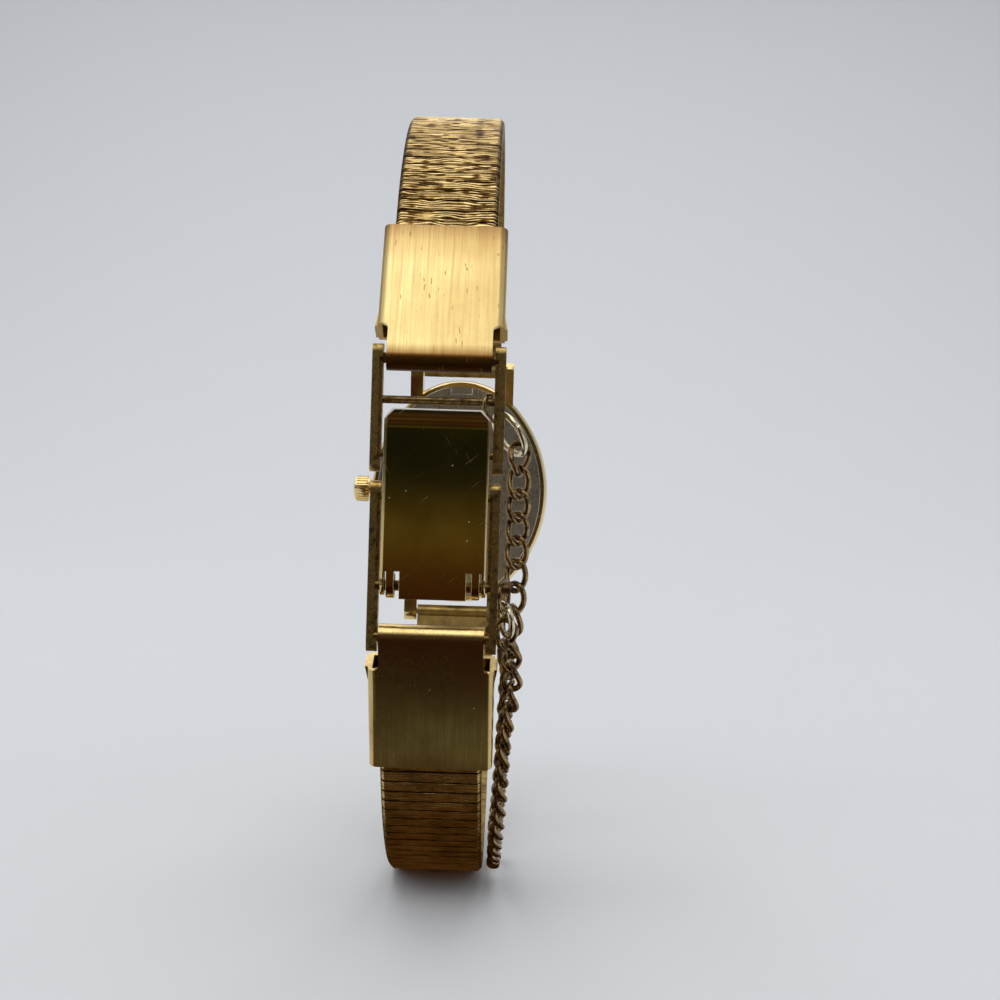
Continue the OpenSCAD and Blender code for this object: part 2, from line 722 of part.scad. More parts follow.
// A bar of metal with its corners eased, seen from the side
module link_profile(l = link_l) {
    ease = 0.16;
    base = -link_pin_h;
    polygon([[-l / 2 + 0.05, base], [l / 2 - 0.05, base], [l / 2, base + 0.05], [l / 2, base + link_t - ease],
        [l / 2 - ease, base + link_t], [-l / 2 + ease, base + link_t],
        [-l / 2, base + link_t - ease], [-l / 2, base + 0.05]]);
}

// A side view carried across part of the width, from x0 to x1 on both sides of the middle or once
module span(x0, x1) {
    if (x0 == 0) translate([-x1, 0, 0]) rotate([90, 0, 90]) linear_extrude(2 * x1) children();
    else for (s = [0, 1]) mirror([s, 0, 0])
        translate([x0, 0, 0]) rotate([90, 0, 90]) linear_extrude(x1 - x0) children();
}

// A hinge knuckle at the pin, with a foot that runs towards the link on the given side
module knuckle(side) {
    circle(knuckle_r);
    translate([side * link_pitch / 4, -knuckle_r / 2]) square([link_pitch / 2, knuckle_r], center = true);
}

// Cuts the two long top corners of a link
module corner_cut(top) {
    for (s = [-1, 1]) translate([s * band_w / 2, 0, top]) rotate([0, 45, 0])
        cube([link_corner * sqrt(2), 4 * link_pitch, link_corner * sqrt(2)], center = true);
}

// A link has its middle knuckle on the case's side and two outer knuckles on the clasp's side
module band_link() {
    difference() {
        union() {
            difference() {
                span(0, band_w / 2) link_profile();
                span(0, middle_half + 0.05) translate([-link_pitch / 2, 0]) circle(knuckle_r + knuckle_clear);
                span(middle_half, band_w) translate([link_pitch / 2, 0]) circle(knuckle_r + knuckle_clear);
            }
            span(0, middle_half) translate([link_pitch / 2, 0]) knuckle(-1);
            span(middle_half + 0.05, band_w / 2 - 0.1) translate([-link_pitch / 2, 0]) knuckle(1);
        }
        for (s = [-1, 1]) translate([0, s * link_pitch / 2, 0]) bar(link_pin_r + pin_clear, band_w + 1);
        corner_cut(link_t - link_pin_h);
    }
}

// Link i of the upper half, counted from the end cap, with its pin on the case's side
module upper_link(i) {
    h = heading(i, skew);
    middle = (pivots[i] + pivots[i + 1]) / 2;
    translate([0, middle[0], middle[1]]) rotate([h, 0, 0]) {
        band_link();
        translate([0, link_pitch / 2, 0]) bar(link_pin_r, band_w - 0.4);
    }
}

// The link next to the case turns on the spring bar
module lug_link() {
    p = pivots[half_links];
    translate([0, p[0], p[1]]) rotate([lug_heading, 0, 0]) difference() {
        union() {
            span(middle_half + 0.05, band_w / 2 - 0.1) knuckle(1);
            span(0, band_w / 2) {
                translate([lug_link_l, 0]) circle(bar_tube_r);
                difference() {
                    translate([0.06, 0.05 - link_pin_h]) square([lug_link_l - 0.06, link_t - 0.1]);
                    translate([lug_link_l, link_t / 2]) circle(link_t / 2);
                }
            }
        }
        span(0, middle_half + 0.05) circle(knuckle_r + knuckle_clear);
        bar(link_pin_r + pin_clear, band_w + 1);
        translate([0, lug_link_l, 0]) bar(spring_bar_r + pin_clear, band_w + 1);
        corner_cut(link_t - link_pin_h - 0.05);
    }
}

// Segment 1 is next to the case and segment 6 next to the end cap
module links(segment) {
    first = (6 - segment) * segment_links;
    color(bark_gold) {
        for (i = [first : first + segment_links - 1]) upper_link(i);
        if (segment == 1) lug_link();
    }
}

// The end link is held in the cap and carries the first knuckle of the band
module end_link() color(bark_gold) in_upper_cap() translate([0, anchor_s, pin_line]) {
    inner = cap_shoulder + 1 - anchor_s;
    difference() {
        union() {
            span(0, band_w / 2) difference() {
                translate([inner, 0.05 - link_pin_h]) square([-inner - 0.06, link_t - 0.1]);
            }
            span(0, middle_half) knuckle(-1);
        }
        span(middle_half, band_w) circle(knuckle_r + knuckle_clear);
        bar(link_pin_r + pin_clear, band_w + 1);
    }
    bar(link_pin_r, band_w - 0.4);
}

// Clasp

// Section of an end cap: a sheet folded round the band, with its seam open at the back
module cap_section() {
    bottom = roll_r - cap_t;
    round_r = 0.6;
    difference() {
        union() {
            translate([-cap_w / 2, bottom]) square([cap_w, cap_t - round_r]);
            translate([-cap_w / 2 + round_r, bottom]) square([cap_w - 2 * round_r, cap_t]);
            for (s = [-1, 1]) translate([s * (cap_w / 2 - round_r), roll_r - round_r]) circle(round_r);
        }
        translate([-cap_w / 2 + sheet_t, bottom + sheet_t])
            square([cap_w - 2 * sheet_t, cap_t - 2 * sheet_t]);
        translate([-band_w / 2 + 1.1, bottom - 1]) square([band_w - 2.2, 2]);
    }
}

module end_cap() color(gold) in_upper_cap() {
    notch = 0.45;
    tongue = lid_w / 2;
    difference() {
        union() {
            translate([0, cap_l, 0]) rotate([90, 0, 0]) linear_extrude(cap_l - cap_shoulder) cap_section();
            translate([-tongue, 0, roll_r - sheet_t]) cube([2 * tongue, cap_shoulder + 1, sheet_t]);
            bar(roll_r, 2 * tongue);
            // Concave corners between the tongue and the body, and the small flares beside them
            for (s = [-1, 1]) scale([1, 1, 1]) translate([s * tongue, cap_shoulder - notch, roll_r - sheet_t])
                linear_extrude(sheet_t) difference() {
                    translate([s > 0 ? 0 : -notch, 0]) square(notch + eps);
                    translate([s * notch, 0]) circle(notch);
                }
            for (s = [-1, 1]) translate([0, 0, roll_r - cap_t + 0.3]) linear_extrude(cap_t - 0.9)
                polygon([[s * (cap_w / 2 - 0.3), cap_shoulder], [s * (cap_w / 2 + 0.22), cap_shoulder],
                    [s * cap_w / 2, cap_shoulder + 1.3], [s * (cap_w / 2 - 0.3), cap_shoulder + 1.3]]);
        }
        bar(clasp_pin_r + pin_clear, 2 * tongue + 1);
        // The folded edges end before the band's first joint
        translate([-band_w / 2, anchor_s - 0.3, roll_r - cap_t - 1]) cube([band_w, 3, 1.5]);
        // The rolled sheet leaves the back of the pin's roll open towards the cap
        translate([-tongue - 1, 0.35, -roll_r - eps]) cube([2 * tongue + 2, cap_shoulder - 0.36, roll_r + 0.5]);
    }
}

module cap_pin(gap) color(steel) translate([0, clasp_y, cap_pin_z])
    bar(clasp_pin_r, gap + 2 * rail_w);

// Two side rails, from the cap's pin to where the frames meet, each with a lowered inner edge
module rails(gap, low, high, holes) color(gold) {
    end_r = rail_d / 2;
    ledge = 0.25;
    for (s = [-1, 1]) translate([s * (gap + rail_w) / 2 - rail_w / 2, clasp_y, 0]) difference() {
        rotate([90, 0, 90]) linear_extrude(rail_w) difference() {
            union() {
                translate([-end_r, low + end_r]) square([rail_d, high - low - rail_d]);
                for (z = [low + end_r, high - end_r]) translate([0, z]) circle(end_r);
            }
            for (h = holes) translate([len(h) > 2 ? h[2] : 0, h[0]]) circle(h[1]);
        }
        translate([s > 0 ? -eps : rail_w - ledge, -rail_d, low + 1])
            cube([ledge + eps, rail_d / 2 + 0.3, high - low - 2]);
    }
}

rail_over = cap_pin_z + 1.05;
module upper_rails() rails(rail_gap, upper_rail_end, rail_over,
    [[cap_pin_z, clasp_pin_r], [chain_bar_z, bar_r, chain_bar_in], [catch_bar_z, bar_r]]);
module lower_rails() rails(low_rail_gap, -rail_over - 0.1, lower_rail_end,
    [[-cap_pin_z, clasp_pin_r], [lid_pin_z, clasp_pin_r], [tie_bar_z, bar_r]]);

module cross_bar(z, r = bar_r, gap = rail_gap, y = 0) color(dark_gold) translate([0, clasp_y + y, z])
    bar(r, gap + 2 * rail_w);

// The lid's hinge pin stands out of the right rail and ends in a head that keeps the chain's ring
pin_out = 0.8;
module lid_pin() color(dark_gold) {
    end_x = low_rail_gap / 2 + rail_w;
    translate([0, clasp_y, lid_pin_z]) {
        bar(clasp_pin_r, 2 * end_x);
        translate([end_x + pin_out / 2 - eps, 0, 0]) bar(clasp_pin_r, pin_out);
        translate([end_x + pin_out + 0.06, 0, 0]) bar(0.55, 0.18);
    }
}

// Side view of the lid's sheet: flat, with its upper end curved in over a wide radius
module lid_side() {
    curve_r = 2.4;
    flat_top = lid_top - 1.5;
    translate([lid_bottom, lid_out - sheet_t]) square([flat_top - lid_bottom, sheet_t]);
    translate([flat_top, lid_out - curve_r]) intersection() {
        ring_2d(curve_r, curve_r - sheet_t);
        translate([0, 1]) square([1.5, 2]);
    }
}

module clasp_lid() color(gold) translate([0, clasp_y, 0]) difference() {
    half = lid_w / 2;
    wall_low = -0.45;
    union() {
        // The plate, cut to its outline
        intersection() {
            translate([-half, 0, 0]) multmatrix_to_lid() linear_extrude(lid_w) lid_side();
            rotate([90, 0, 0]) linear_extrude(4, center = true) polygon([
                [-tongue_half, lid_bottom], [tongue_half, lid_bottom],
                [tongue_half, lid_pin_z + roll_r + 0.15], [half, lid_pin_z + roll_r + 0.15],
                [half, lid_top - lid_corner], [half - lid_corner, lid_top + 0.2],
                [lid_corner - half, lid_top + 0.2], [-half, lid_top - lid_corner],
                [-half, lid_pin_z + roll_r + 0.15], [-tongue_half, lid_pin_z + roll_r + 0.15]]);
        }
        // Side walls with round ears at the pin
        for (s = [-1, 1]) translate([s > 0 ? half - wall_t : -half, 0, 0]) multmatrix_to_lid()
            linear_extrude(wall_t) {
                translate([lid_pin_z, 0]) circle(0.75);
                translate([lid_pin_z, wall_low]) square([lid_top - 2 - lid_pin_z, lid_out - sheet_t - wall_low + 0.1]);
            }
        // Rolled knuckles, drawn in from the plate
        for (s = [-1, 1]) translate([s * knuckle_x, 0, 0]) {
            translate([0, 0, lid_pin_z]) bar(roll_r, knuckle_w);
            translate([-knuckle_w / 2, -lid_out, lid_pin_z]) cube([knuckle_w, sheet_t, roll_r + 0.4]);
        }
    }
    translate([0, 0, lid_pin_z]) bar(clasp_pin_r + pin_clear, 10);
    for (z = [catch_bar_z, tie_bar_z]) translate([0, 0, z]) {
        bar(bar_r + notch_clear, 10);
        translate([0, 1, 0]) cube([10, 2, 2 * (bar_r + notch_clear)], center = true);
    }
}

// A side view drawn with x upwards and y outwards, stood up so that it is extruded along X
module multmatrix_to_lid() {
    mirror([0, 1, 0]) rotate([90, 0, 90]) mirror([1, 0, 0]) rotate([0, 0, 90]) children();
}

// Safety chain

link_half_w = (chain_w - chain_wire) / 2;
link_lift = chain_w / 5.4;
link_half_l = (chain_pitch + chain_wire + 0.1) / 2;
wire_sides = 6;
wire_rings = 14;

function unit(v) = v / norm(v);
// Places, directions and turns of the rings and of the first links, inwards from the pins' plane
bar_link_at = [4.139, 0.9699, 6.8215];
bar_link_n = [0.8462, -0.418, -0.0023];
bar_link_d = [0.3346, 0.682, -0.298];
bar_link_half = 0.8437;
bar_link_r = 0.7719;
upper_ring_at = [5.3996, 2.002, 5.0517];
upper_ring_n = [1.0312, 0.6093, 0.7082];
strand_at = [6.2224, 2.078, 4.1017];
strand_turn = -28.87;
pin_ring_at = [5.3512, 0.0522, -7.1857];
pin_ring_n = [1.9614, -0.6128, 0.0192];
lower_ring_at = [5.4955, 0.6799, -8.9918];
lower_ring_n = [7.0484, 2.9185, 1.3047];
outer_at = 5.6054;
outer_start = [-1.067, 0.8516];
outer_turn = -11.6;
end_roll = 90;
turn_at = [[0, 0, 0], [0.09, 1.577, 0.844], [0.118, 2.247, 2.508]];
turn_roll = [85, 94];
// Middle of a curb link's wire: an oval whose sides are twisted up and down
function curb(t) = [link_half_w * sin(t), link_half_l * cos(t), link_lift * sin(2 * t)];
function curb_way(t) = unit([link_half_w * cos(t), -link_half_l * sin(t), 2 * link_lift * cos(2 * t)]);

module curb_link() {
    step = 360 / wire_rings;
    points = [for (i = [0 : wire_rings - 1]) let (
        t = i * step,
        way = curb_way(t),
        out = unit(cross(way, cross([sin(t), cos(t), 0], way))),
        up = cross(way, out))
        for (k = [0 : wire_sides - 1]) let (a = 360 * k / wire_sides)
            curb(t) + chain_wire / 2 * (cos(a) * out + sin(a) * up)];
    faces = [for (i = [0 : wire_rings - 1], k = [0 : wire_sides - 1]) let (
        j = (i + 1) % wire_rings,
        n = (k + 1) % wire_sides)
        each [[i * wire_sides + k, i * wire_sides + n, j * wire_sides + n],
            [i * wire_sides + k, j * wire_sides + n, j * wire_sides + k]]];
    polyhedron(points, faces);
}

// The line beside the lower half that the chain follows. s is the distance from the lower cap's
// pin, r the distance outside the pin line, and the line turns in an arc near the pin.
arc_half = 3;
function lower_line(s, r) = s < -arc_half ? [clasp_y - r, -cap_pin_z - s]
    : s < arc_half ? let (
        a = cap_tilt * (s + arc_half) / (2 * arc_half),
        turn_r = 2 * arc_half / (cap_tilt * PI / 180))
        [clasp_y + turn_r * (1 - cos(a)) - r * cos(a),
            arc_half - cap_pin_z - turn_r * sin(a) - r * sin(a)]
    : let (
        i = (s - anchor_s) / link_pitch,
        n = max(0, floor(i)),
        q = s < anchor_s ? at_cap(s, r, upper_pin)
            : pivots[n] + (i - n) * (pivots[n + 1] - pivots[n])
                + (r - pin_line) * [-sin(heading(n, skew)), cos(heading(n, skew))])
        [q[0], -q[1]];
// Steady change of a value between two distances, and its own ends outside them
function ramp(s, from, to, a, b) = a + (b - a) * max(0, min(1, (s - from) / (to - from)));
function lane_x(s) = s < 4 ? ramp(s, -4, 4, strand_at[0], 5.78)
    : s < 14 ? ramp(s, 4, 14, 5.78, 5.5) : ramp(s, 14, 27, 5.5, 5);
function inner_r(s) = s < 0 ? ramp(s, -14.5, 0, -strand_at[1], -strand_at[1] - 1.1)
    : ramp(s, 0, 8, -strand_at[1] - 1.1, -2.7);
function outer_r(s) = s < outer_start[1] ? ramp(s, outer_start[0], outer_start[1], -0.795, -1.032)
    : ramp(s, outer_start[1], 7, -1.032, -0.6);
function outer_x(s) = s < 5 ? ramp(s, outer_start[1], 2.6, outer_at, 6.1)
    : ramp(s, 5, 10, 6.1, lane_x(max(s, 10)));
function lane(inner, s) = let (q = lower_line(s, inner ? inner_r(s) : outer_r(s)))
    [inner ? lane_x(s) : outer_x(s), q[0], q[1]];

// The places of a strand's links, one pitch apart in space
function step_to(inner, s, d, n) = n == 0 ? s + d
    : step_to(inner, s, d * chain_pitch / norm(lane(inner, s + d) - lane(inner, s)), n - 1);
function walk(inner, s, n) = n == 0 ? [s]
    : concat([s], walk(inner, step_to(inner, s, chain_pitch, 4), n - 1));

// A chain link from one point to the next, turned about its own line by a roll
module laid_link(a, b, roll) {
    way = unit(b - a);
    translate((a + b) / 2) rotate([atan2(way[2], way[1]), 0, 0]) rotate([0, 0, -asin(way[0])])
        rotate([0, roll, 0]) curb_link();
}

// The strand's flat side faces outwards above the lower cap, stands on edge beside it and turns
// back before the lowest point
function strand_roll(s, inner) = s < 15
    ? (inner ? ramp(s, -3, 4, 0, 82) : ramp(s, -0.11, 7, outer_turn, 82))
    : ramp(s, 15, 24, 82, end_roll);

inner_walk = walk(true, -cap_pin_z - strand_at[2], front_top_links + front_low_links);
outer_walk = concat([outer_start[0]], walk(false, outer_start[1], back_links - 1));
inner_end = inner_walk[front_top_links + front_low_links];
function turn_point(v) = let (q = lower_line(inner_end + v[1], inner_r(inner_end) + v[2]))
    [lane_x(inner_end) + v[0], q[0], q[1]];

// The links of a strand from one place of its walk to another
module strand(inner, places, from, to) for (i = [from : to - 1]) laid_link(
    lane(inner, places[i]), lane(inner, places[i + 1]),
    inner && i == 0 ? strand_turn : strand_roll((places[i] + places[i + 1]) / 2, inner));

module chain_top() color(dark_gold) strand(true, inner_walk, 0, front_top_links);

// The inner strand runs to the lowest point of the chain and starts to turn back
module chain_inner() color(dark_gold) {
    strand(true, inner_walk, front_top_links, front_top_links + front_low_links);
    for (i = [0 : len(turn_at) - 2])
        laid_link(turn_point(turn_at[i]), turn_point(turn_at[i + 1]), turn_roll[i]);
}

module chain_outer() color(dark_gold) strand(false, outer_walk, 0, back_links);

// Turns an upright axis to a direction, and a second one round it
module face(n) {
    u = unit(n);
    rotate([0, acos(u[2]), atan2(u[1], u[0])]) children();
}
function face_turn(n, d) = let (u = unit(n), b = acos(u[2]), c = atan2(u[1], u[0]))
    atan2(d * [-sin(c), cos(c), 0], d * [cos(b) * cos(c), cos(b) * sin(c), -sin(b)]);

// A round wire ring by its wire's middle line
module wire_ring(r, wire) {
    rotate_extrude() translate([r, 0]) circle(d = wire);
}

// An oval wire link, long along X
module oval_wire(r, half, wire) {
    for (s = [0, 180]) rotate([0, 0, s]) {
        translate([half, 0, 0]) rotate([0, 0, -90]) rotate_extrude(angle = 180)
            translate([r, 0]) circle(d = wire);
        translate([0, r, 0]) bar(wire / 2 - 0.015, 2 * half + 0.2);
    }
}

module bar_link() color(dark_gold) translate([0, clasp_y, 0] + bar_link_at) face(bar_link_n)
    rotate([0, 0, face_turn(bar_link_n, bar_link_d)]) oval_wire(bar_link_r, bar_link_half, 0.32);
module upper_jump_ring() color(gold) translate([0, clasp_y, 0] + upper_ring_at)
    face(upper_ring_n) wire_ring(upper_ring_r, ring_wire);
module pin_ring() color(dark_gold) translate([0, clasp_y, 0] + pin_ring_at)
    face(pin_ring_n) wire_ring(pin_ring_r, 0.3);
module lower_jump_ring() color(gold) translate([0, clasp_y, 0] + lower_ring_at)
    face(lower_ring_n) wire_ring(lower_ring_r, ring_wire);

case_middle();
bezel();
crystal();
case_back();
movement_ring();
dial();
hour_markers();
main_plate();
train_bridge();
balance_cock();
movement_screws();
spring_bars();
barrel();
centre_wheel();
third_wheel();
fourth_wheel();
escape_wheel();
pallet_fork();
balance_wheel();
hairspring();
minute_wheel();
hour_wheel();
hour_hand();
minute_hand();
winding_stem();
crown();
setting_lever();
links(1);  // upper_links_1
links(2);  // upper_links_2
links(3);  // upper_links_3
links(4);  // upper_links_4
links(5);  // upper_links_5
links(6);  // upper_links_6
lower() links(1);  // lower_links_1
lower() links(2);  // lower_links_2
lower() links(3);  // lower_links_3
lower() links(4);  // lower_links_4
lower() links(5);  // lower_links_5
lower() links(6);  // lower_links_6
end_link();  // upper_end_link
lower() end_link();  // lower_end_link
end_cap();  // upper_end_cap
lower() end_cap();  // lower_end_cap
cap_pin(rail_gap);  // upper_cap_pin
lower() cap_pin(low_rail_gap);  // lower_cap_pin
upper_rails();
lower_rails();
cross_bar(chain_bar_z, bar_r, rail_gap, chain_bar_in);  // chain_bar
cross_bar(catch_bar_z);  // catch_bar
cross_bar(tie_bar_z, bar_r, low_rail_gap);  // tie_bar
lid_pin();
clasp_lid();
bar_link();
upper_jump_ring();
chain_top();
chain_inner();
pin_ring();
lower_jump_ring();
chain_outer();
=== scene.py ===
"""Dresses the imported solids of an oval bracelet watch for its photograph, with lengths in metres."""

import json
import math

import bmesh
import bpy
import numpy as np
from mathutils import Matrix, Vector


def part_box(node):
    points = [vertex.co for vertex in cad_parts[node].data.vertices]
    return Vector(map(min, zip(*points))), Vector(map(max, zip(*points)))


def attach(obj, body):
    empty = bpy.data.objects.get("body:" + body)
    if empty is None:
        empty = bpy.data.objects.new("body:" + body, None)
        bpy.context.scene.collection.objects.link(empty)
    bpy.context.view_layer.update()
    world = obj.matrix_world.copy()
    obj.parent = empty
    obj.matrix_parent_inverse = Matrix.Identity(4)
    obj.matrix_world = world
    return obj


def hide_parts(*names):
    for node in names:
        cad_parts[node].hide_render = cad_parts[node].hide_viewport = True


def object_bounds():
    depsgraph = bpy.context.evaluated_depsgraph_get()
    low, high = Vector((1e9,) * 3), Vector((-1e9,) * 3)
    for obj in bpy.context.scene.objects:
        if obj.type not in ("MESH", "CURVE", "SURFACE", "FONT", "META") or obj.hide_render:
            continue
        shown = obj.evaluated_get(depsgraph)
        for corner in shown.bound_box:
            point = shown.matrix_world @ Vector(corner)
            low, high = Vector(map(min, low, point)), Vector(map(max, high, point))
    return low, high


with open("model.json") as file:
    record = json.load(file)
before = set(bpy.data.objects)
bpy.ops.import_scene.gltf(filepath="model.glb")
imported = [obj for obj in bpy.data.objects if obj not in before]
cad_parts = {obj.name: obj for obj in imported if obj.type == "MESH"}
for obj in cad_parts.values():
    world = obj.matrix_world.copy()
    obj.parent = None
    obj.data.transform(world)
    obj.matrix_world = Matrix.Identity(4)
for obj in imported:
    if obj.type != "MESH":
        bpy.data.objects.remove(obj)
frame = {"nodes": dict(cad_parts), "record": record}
cad_box = [[float(v) for v in corner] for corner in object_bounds()]
cad = frame["nodes"]
scene = bpy.context.scene
scene.view_settings.view_transform = "Standard"

# Camera. It stands level with the clasp and a little to its right, where the photographer held it,
# and the watch sits left of the picture's middle, leaning to the right.
clasp_front = np.array([0.0, -0.0252, 0.0])
camera_distance = 0.116
camera_rise = math.radians(1.0)
camera_side = math.radians(3.0)
picture_px = 1000
lens_mm = 56.3
sensor_mm = 36
focal_px = lens_mm / sensor_mm * picture_px
clasp_px = (434.5, 499)
lean = math.radians(1.7)

towards = np.array([math.sin(camera_side) * math.cos(camera_rise),
                    -math.cos(camera_side) * math.cos(camera_rise), math.sin(camera_rise)])
camera_data = bpy.data.cameras.new("photo_camera")
camera_data.lens = lens_mm
camera_data.sensor_width = sensor_mm
camera_data.clip_start = 0.005
camera_data.clip_end = 20
camera = bpy.data.objects.new("photo_camera", camera_data)
scene.collection.objects.link(camera)
scene.camera = camera


def aim(at, target, target_px, roll):
    """A camera matrix that puts a target point on a pixel. A plain look at the target is turned
    by the roll about that line, and then by the pixel's own angle from the picture's middle."""
    look = Vector(target - at).to_track_quat("-Z", "Y").to_matrix()
    pixel = Vector(((target_px[0] - picture_px / 2) / focal_px,
                    (picture_px / 2 - target_px[1]) / focal_px, -1)).normalized()
    shift = pixel.rotation_difference(Vector((0, 0, -1))).to_matrix()
    turn = look @ Matrix.Rotation(roll, 3, "Z") @ shift
    return Matrix.Translation(at) @ turn.to_4x4()


camera.matrix_world = aim(clasp_front + camera_distance * towards, clasp_front, clasp_px, lean)

# Floor and backdrop. One pale matt sheet lies under the watch and bends up into a wall behind it,
# as a roll of studio paper does.
pale = (0.80, 0.815, 0.83, 1)
floor_half = 3
bend_y = 0.45
bend_r = 0.6
wall_top = 2.4


def place(tree, kind, inputs=None, **settings):
    """Adds one shader node. Inputs are numbers, colours or the sockets that feed them."""
    made = tree.nodes.new("ShaderNode" + kind)
    for name, value in settings.items():
        setattr(made, name, value)
    for name, value in (inputs or {}).items():
        socket = made.inputs[name]
        if isinstance(value, bpy.types.NodeSocket):
            tree.links.new(value, socket)
        else:
            socket.default_value = value
    return made


def material(name):
    """A new material with its tree emptied but for the output."""
    made = bpy.data.materials.new(name)
    made.use_nodes = True
    tree = made.node_tree
    tree.nodes.clear()
    return made, tree, tree.nodes.new("ShaderNodeOutputMaterial")


def sheet_of(name, profile, half_widths, paint):
    """A stage piece: a profile of (y, z) points carried along X from one side to the other, with
    one half width for all points or one for each."""
    profile = np.array(profile, float)
    rows = len(profile)
    half_widths = np.broadcast_to(half_widths, rows)
    points = np.concatenate([np.column_stack([side * half_widths, profile]) for side in (-1, 1)])
    k = np.arange(rows - 1)
    faces = np.column_stack([k, k + rows, k + rows + 1, k + 1])
    mesh = bpy.data.meshes.new(name)
    mesh.from_pydata(points.tolist(), [], faces.tolist())
    mesh.polygons.foreach_set("use_smooth", np.ones(len(faces), bool))
    mesh.materials.append(paint)
    made = bpy.data.objects.new(name, mesh)
    scene.collection.objects.link(made)
    return made


floor_z = cad_box[0][2]
floor_paint, tree, output = material("pale_floor")
tree.links.new(place(tree, "BsdfPrincipled", {
    "Base Color": pale, "Roughness": 0.9, "Specular IOR Level": 0.1}).outputs[0], output.inputs[0])
bend = np.linspace(0, np.pi / 2, 25)
sheet_of("floor", np.concatenate([
    [[-floor_half, floor_z]],
    np.column_stack([bend_y + bend_r * np.sin(bend), floor_z + bend_r * (1 - np.cos(bend))]),
    [[bend_y + bend_r, wall_top]]]), floor_half, floor_paint)

# Dark cards, which are painted reflections. One lies low in front of the watch and rises slowly
# away from it, and one stands up at its far end. They glow with dark colours and paler stripes.
# Only mirrors see them: the lower cap and the lid the low card, and the lid's curved upper end
# the high one, as stripes.
card_under = 0.015
card_near = 0.012
card_far = 1.4
card_rise = 0.09
card_lift = 0.0002
card_top = 0.78
card_half = 0.45
card_foot_half = 0.012
nearest_log = -1.95
farthest_log = 0.2
least_distance = 0.001


def math_of(tree, operation, *values, clamp=False):
    """The result of one Math node, from numbers or the sockets that feed them."""
    return place(tree, "Math", dict(enumerate(values)), operation=operation,
                 use_clamp=clamp).outputs[0]


def remap(tree, value, low, high, to_low=0.0, to_high=1.0):
    """A value taken from one range to another in proportion, held at the ends."""
    return place(tree, "MapRange", {"Value": value, "From Min": low, "From Max": high,
                                    "To Min": to_low, "To Max": to_high}).outputs[0]


def ramp(tree, value, stops):
    """A colour ramp from a list of places and colours, fed by a value."""
    made = place(tree, "ValToRGB", {"Fac": value})
    band = made.color_ramp
    while len(band.elements) < len(stops):
        band.elements.new(0.5)
    for element, (at, colour) in zip(band.elements, stops):
        element.position = at
        element.color = (*colour, 1)
    return made.outputs["Color"]


def painted_reflection_card(name, profile, half_widths, share_of, stops):
    """A card that only mirrors see, as a painted reflection. It glows with a ramp of dark
    colours along its profile.
    """
    paint, tree, output = material(name)
    at = place(tree, "SeparateXYZ", {0: place(tree, "TexCoord").outputs["Object"]})
    colour = ramp(tree, share_of(tree, at), stops)
    tree.links.new(place(tree, "Emission", {"Color": colour, "Strength": 1.0}).outputs[0],
                   output.inputs[0])
    card = sheet_of(name, profile, half_widths, paint)
    card.visible_camera = False
    card.visible_diffuse = False
    card.visible_shadow = False
    card.visible_transmission = False


def log_distance(tree, at):
    """Share from 0 to 1 of the logarithm of the distance in front of the watch, because the lower
    cap mirrors the low card's first centimetres and the lid mirrors the rest."""
    away = math_of(tree, "MULTIPLY", at.outputs["Y"], -1.0)
    away = math_of(tree, "MAXIMUM", away, least_distance)
    away = math_of(tree, "LOGARITHM", away, 10.0)
    return remap(tree, away, nearest_log, farthest_log)


def height_share(tree, at):
    """Share from 0 to 1 of the height up the upright card."""
    return remap(tree, at.outputs["Z"], 0.0, card_top)


# Painted reflections: dark colours with a few paler stripes, along the low card and up the high one
low_card_reflection_colours = [
    (0.00, (0.06, 0.030, 0.010)), (0.15, (0.07, 0.032, 0.010)), (0.172, (0.10, 0.095, 0.065)),
    (0.190, (0.10, 0.100, 0.070)), (0.208, (0.045, 0.036, 0.022)), (0.225, (0.022, 0.006, 0.003)),
    (0.50, (0.025, 0.005, 0.002)), (0.60, (0.05, 0.020, 0.005)), (0.66, (0.085, 0.060, 0.015)),
    (0.71, (0.07, 0.055, 0.015)), (0.755, (0.008, 0.010, 0.006)), (0.97, (0.004, 0.006, 0.004))]
high_card_reflection_colours = [
    (0.06, (0.004, 0.006, 0.004)), (0.09, (0.05, 0.045, 0.012)), (0.13, (0.05, 0.045, 0.012)),
    (0.17, (0.012, 0.010, 0.005)), (0.26, (0.055, 0.022, 0.008)), (0.34, (0.02, 0.010, 0.006)),
    (0.42, (0.075, 0.045, 0.015)), (0.52, (0.03, 0.012, 0.006)), (0.60, (0.06, 0.035, 0.012)),
    (0.70, (0.014, 0.012, 0.008)), (1.0, (0.02, 0.02, 0.012))]
card_bend = (-card_far, floor_z + card_rise)
painted_reflection_card("low_card", [card_bend, (-card_near, floor_z + card_lift),
                       (card_under, floor_z + card_lift)],
          [card_half, card_foot_half, card_foot_half], log_distance, low_card_reflection_colours)
painted_reflection_card("high_card", [card_bend, (-card_far, card_top)], card_half, height_share,
          high_card_reflection_colours)

# Room and lamps. The world is one graded room for every ray, dim at the horizon and pale
# overhead, and five soft lamps stand high in front, overhead, left, right and behind.
room_colours = [(0.0, (0.10, 0.10, 0.11)), (0.50, (0.05, 0.05, 0.055)), (0.62, (0.14, 0.14, 0.15)),
                (0.80, (0.55, 0.56, 0.58)), (1.0, (0.62, 0.64, 0.67))]
world = bpy.data.worlds.new("graded_room")
scene.world = world
world.use_nodes = True
tree = world.node_tree
tree.nodes.clear()
way_out = place(tree, "SeparateXYZ", {0: place(tree, "TexCoord").outputs["Generated"]})
room_colour = ramp(tree, remap(tree, way_out.outputs["Z"], -1.0, 1.0), room_colours)
room = place(tree, "Background", {"Color": room_colour, "Strength": 1.0})
tree.links.new(room.outputs[0], place(tree, "OutputWorld").inputs["Surface"])


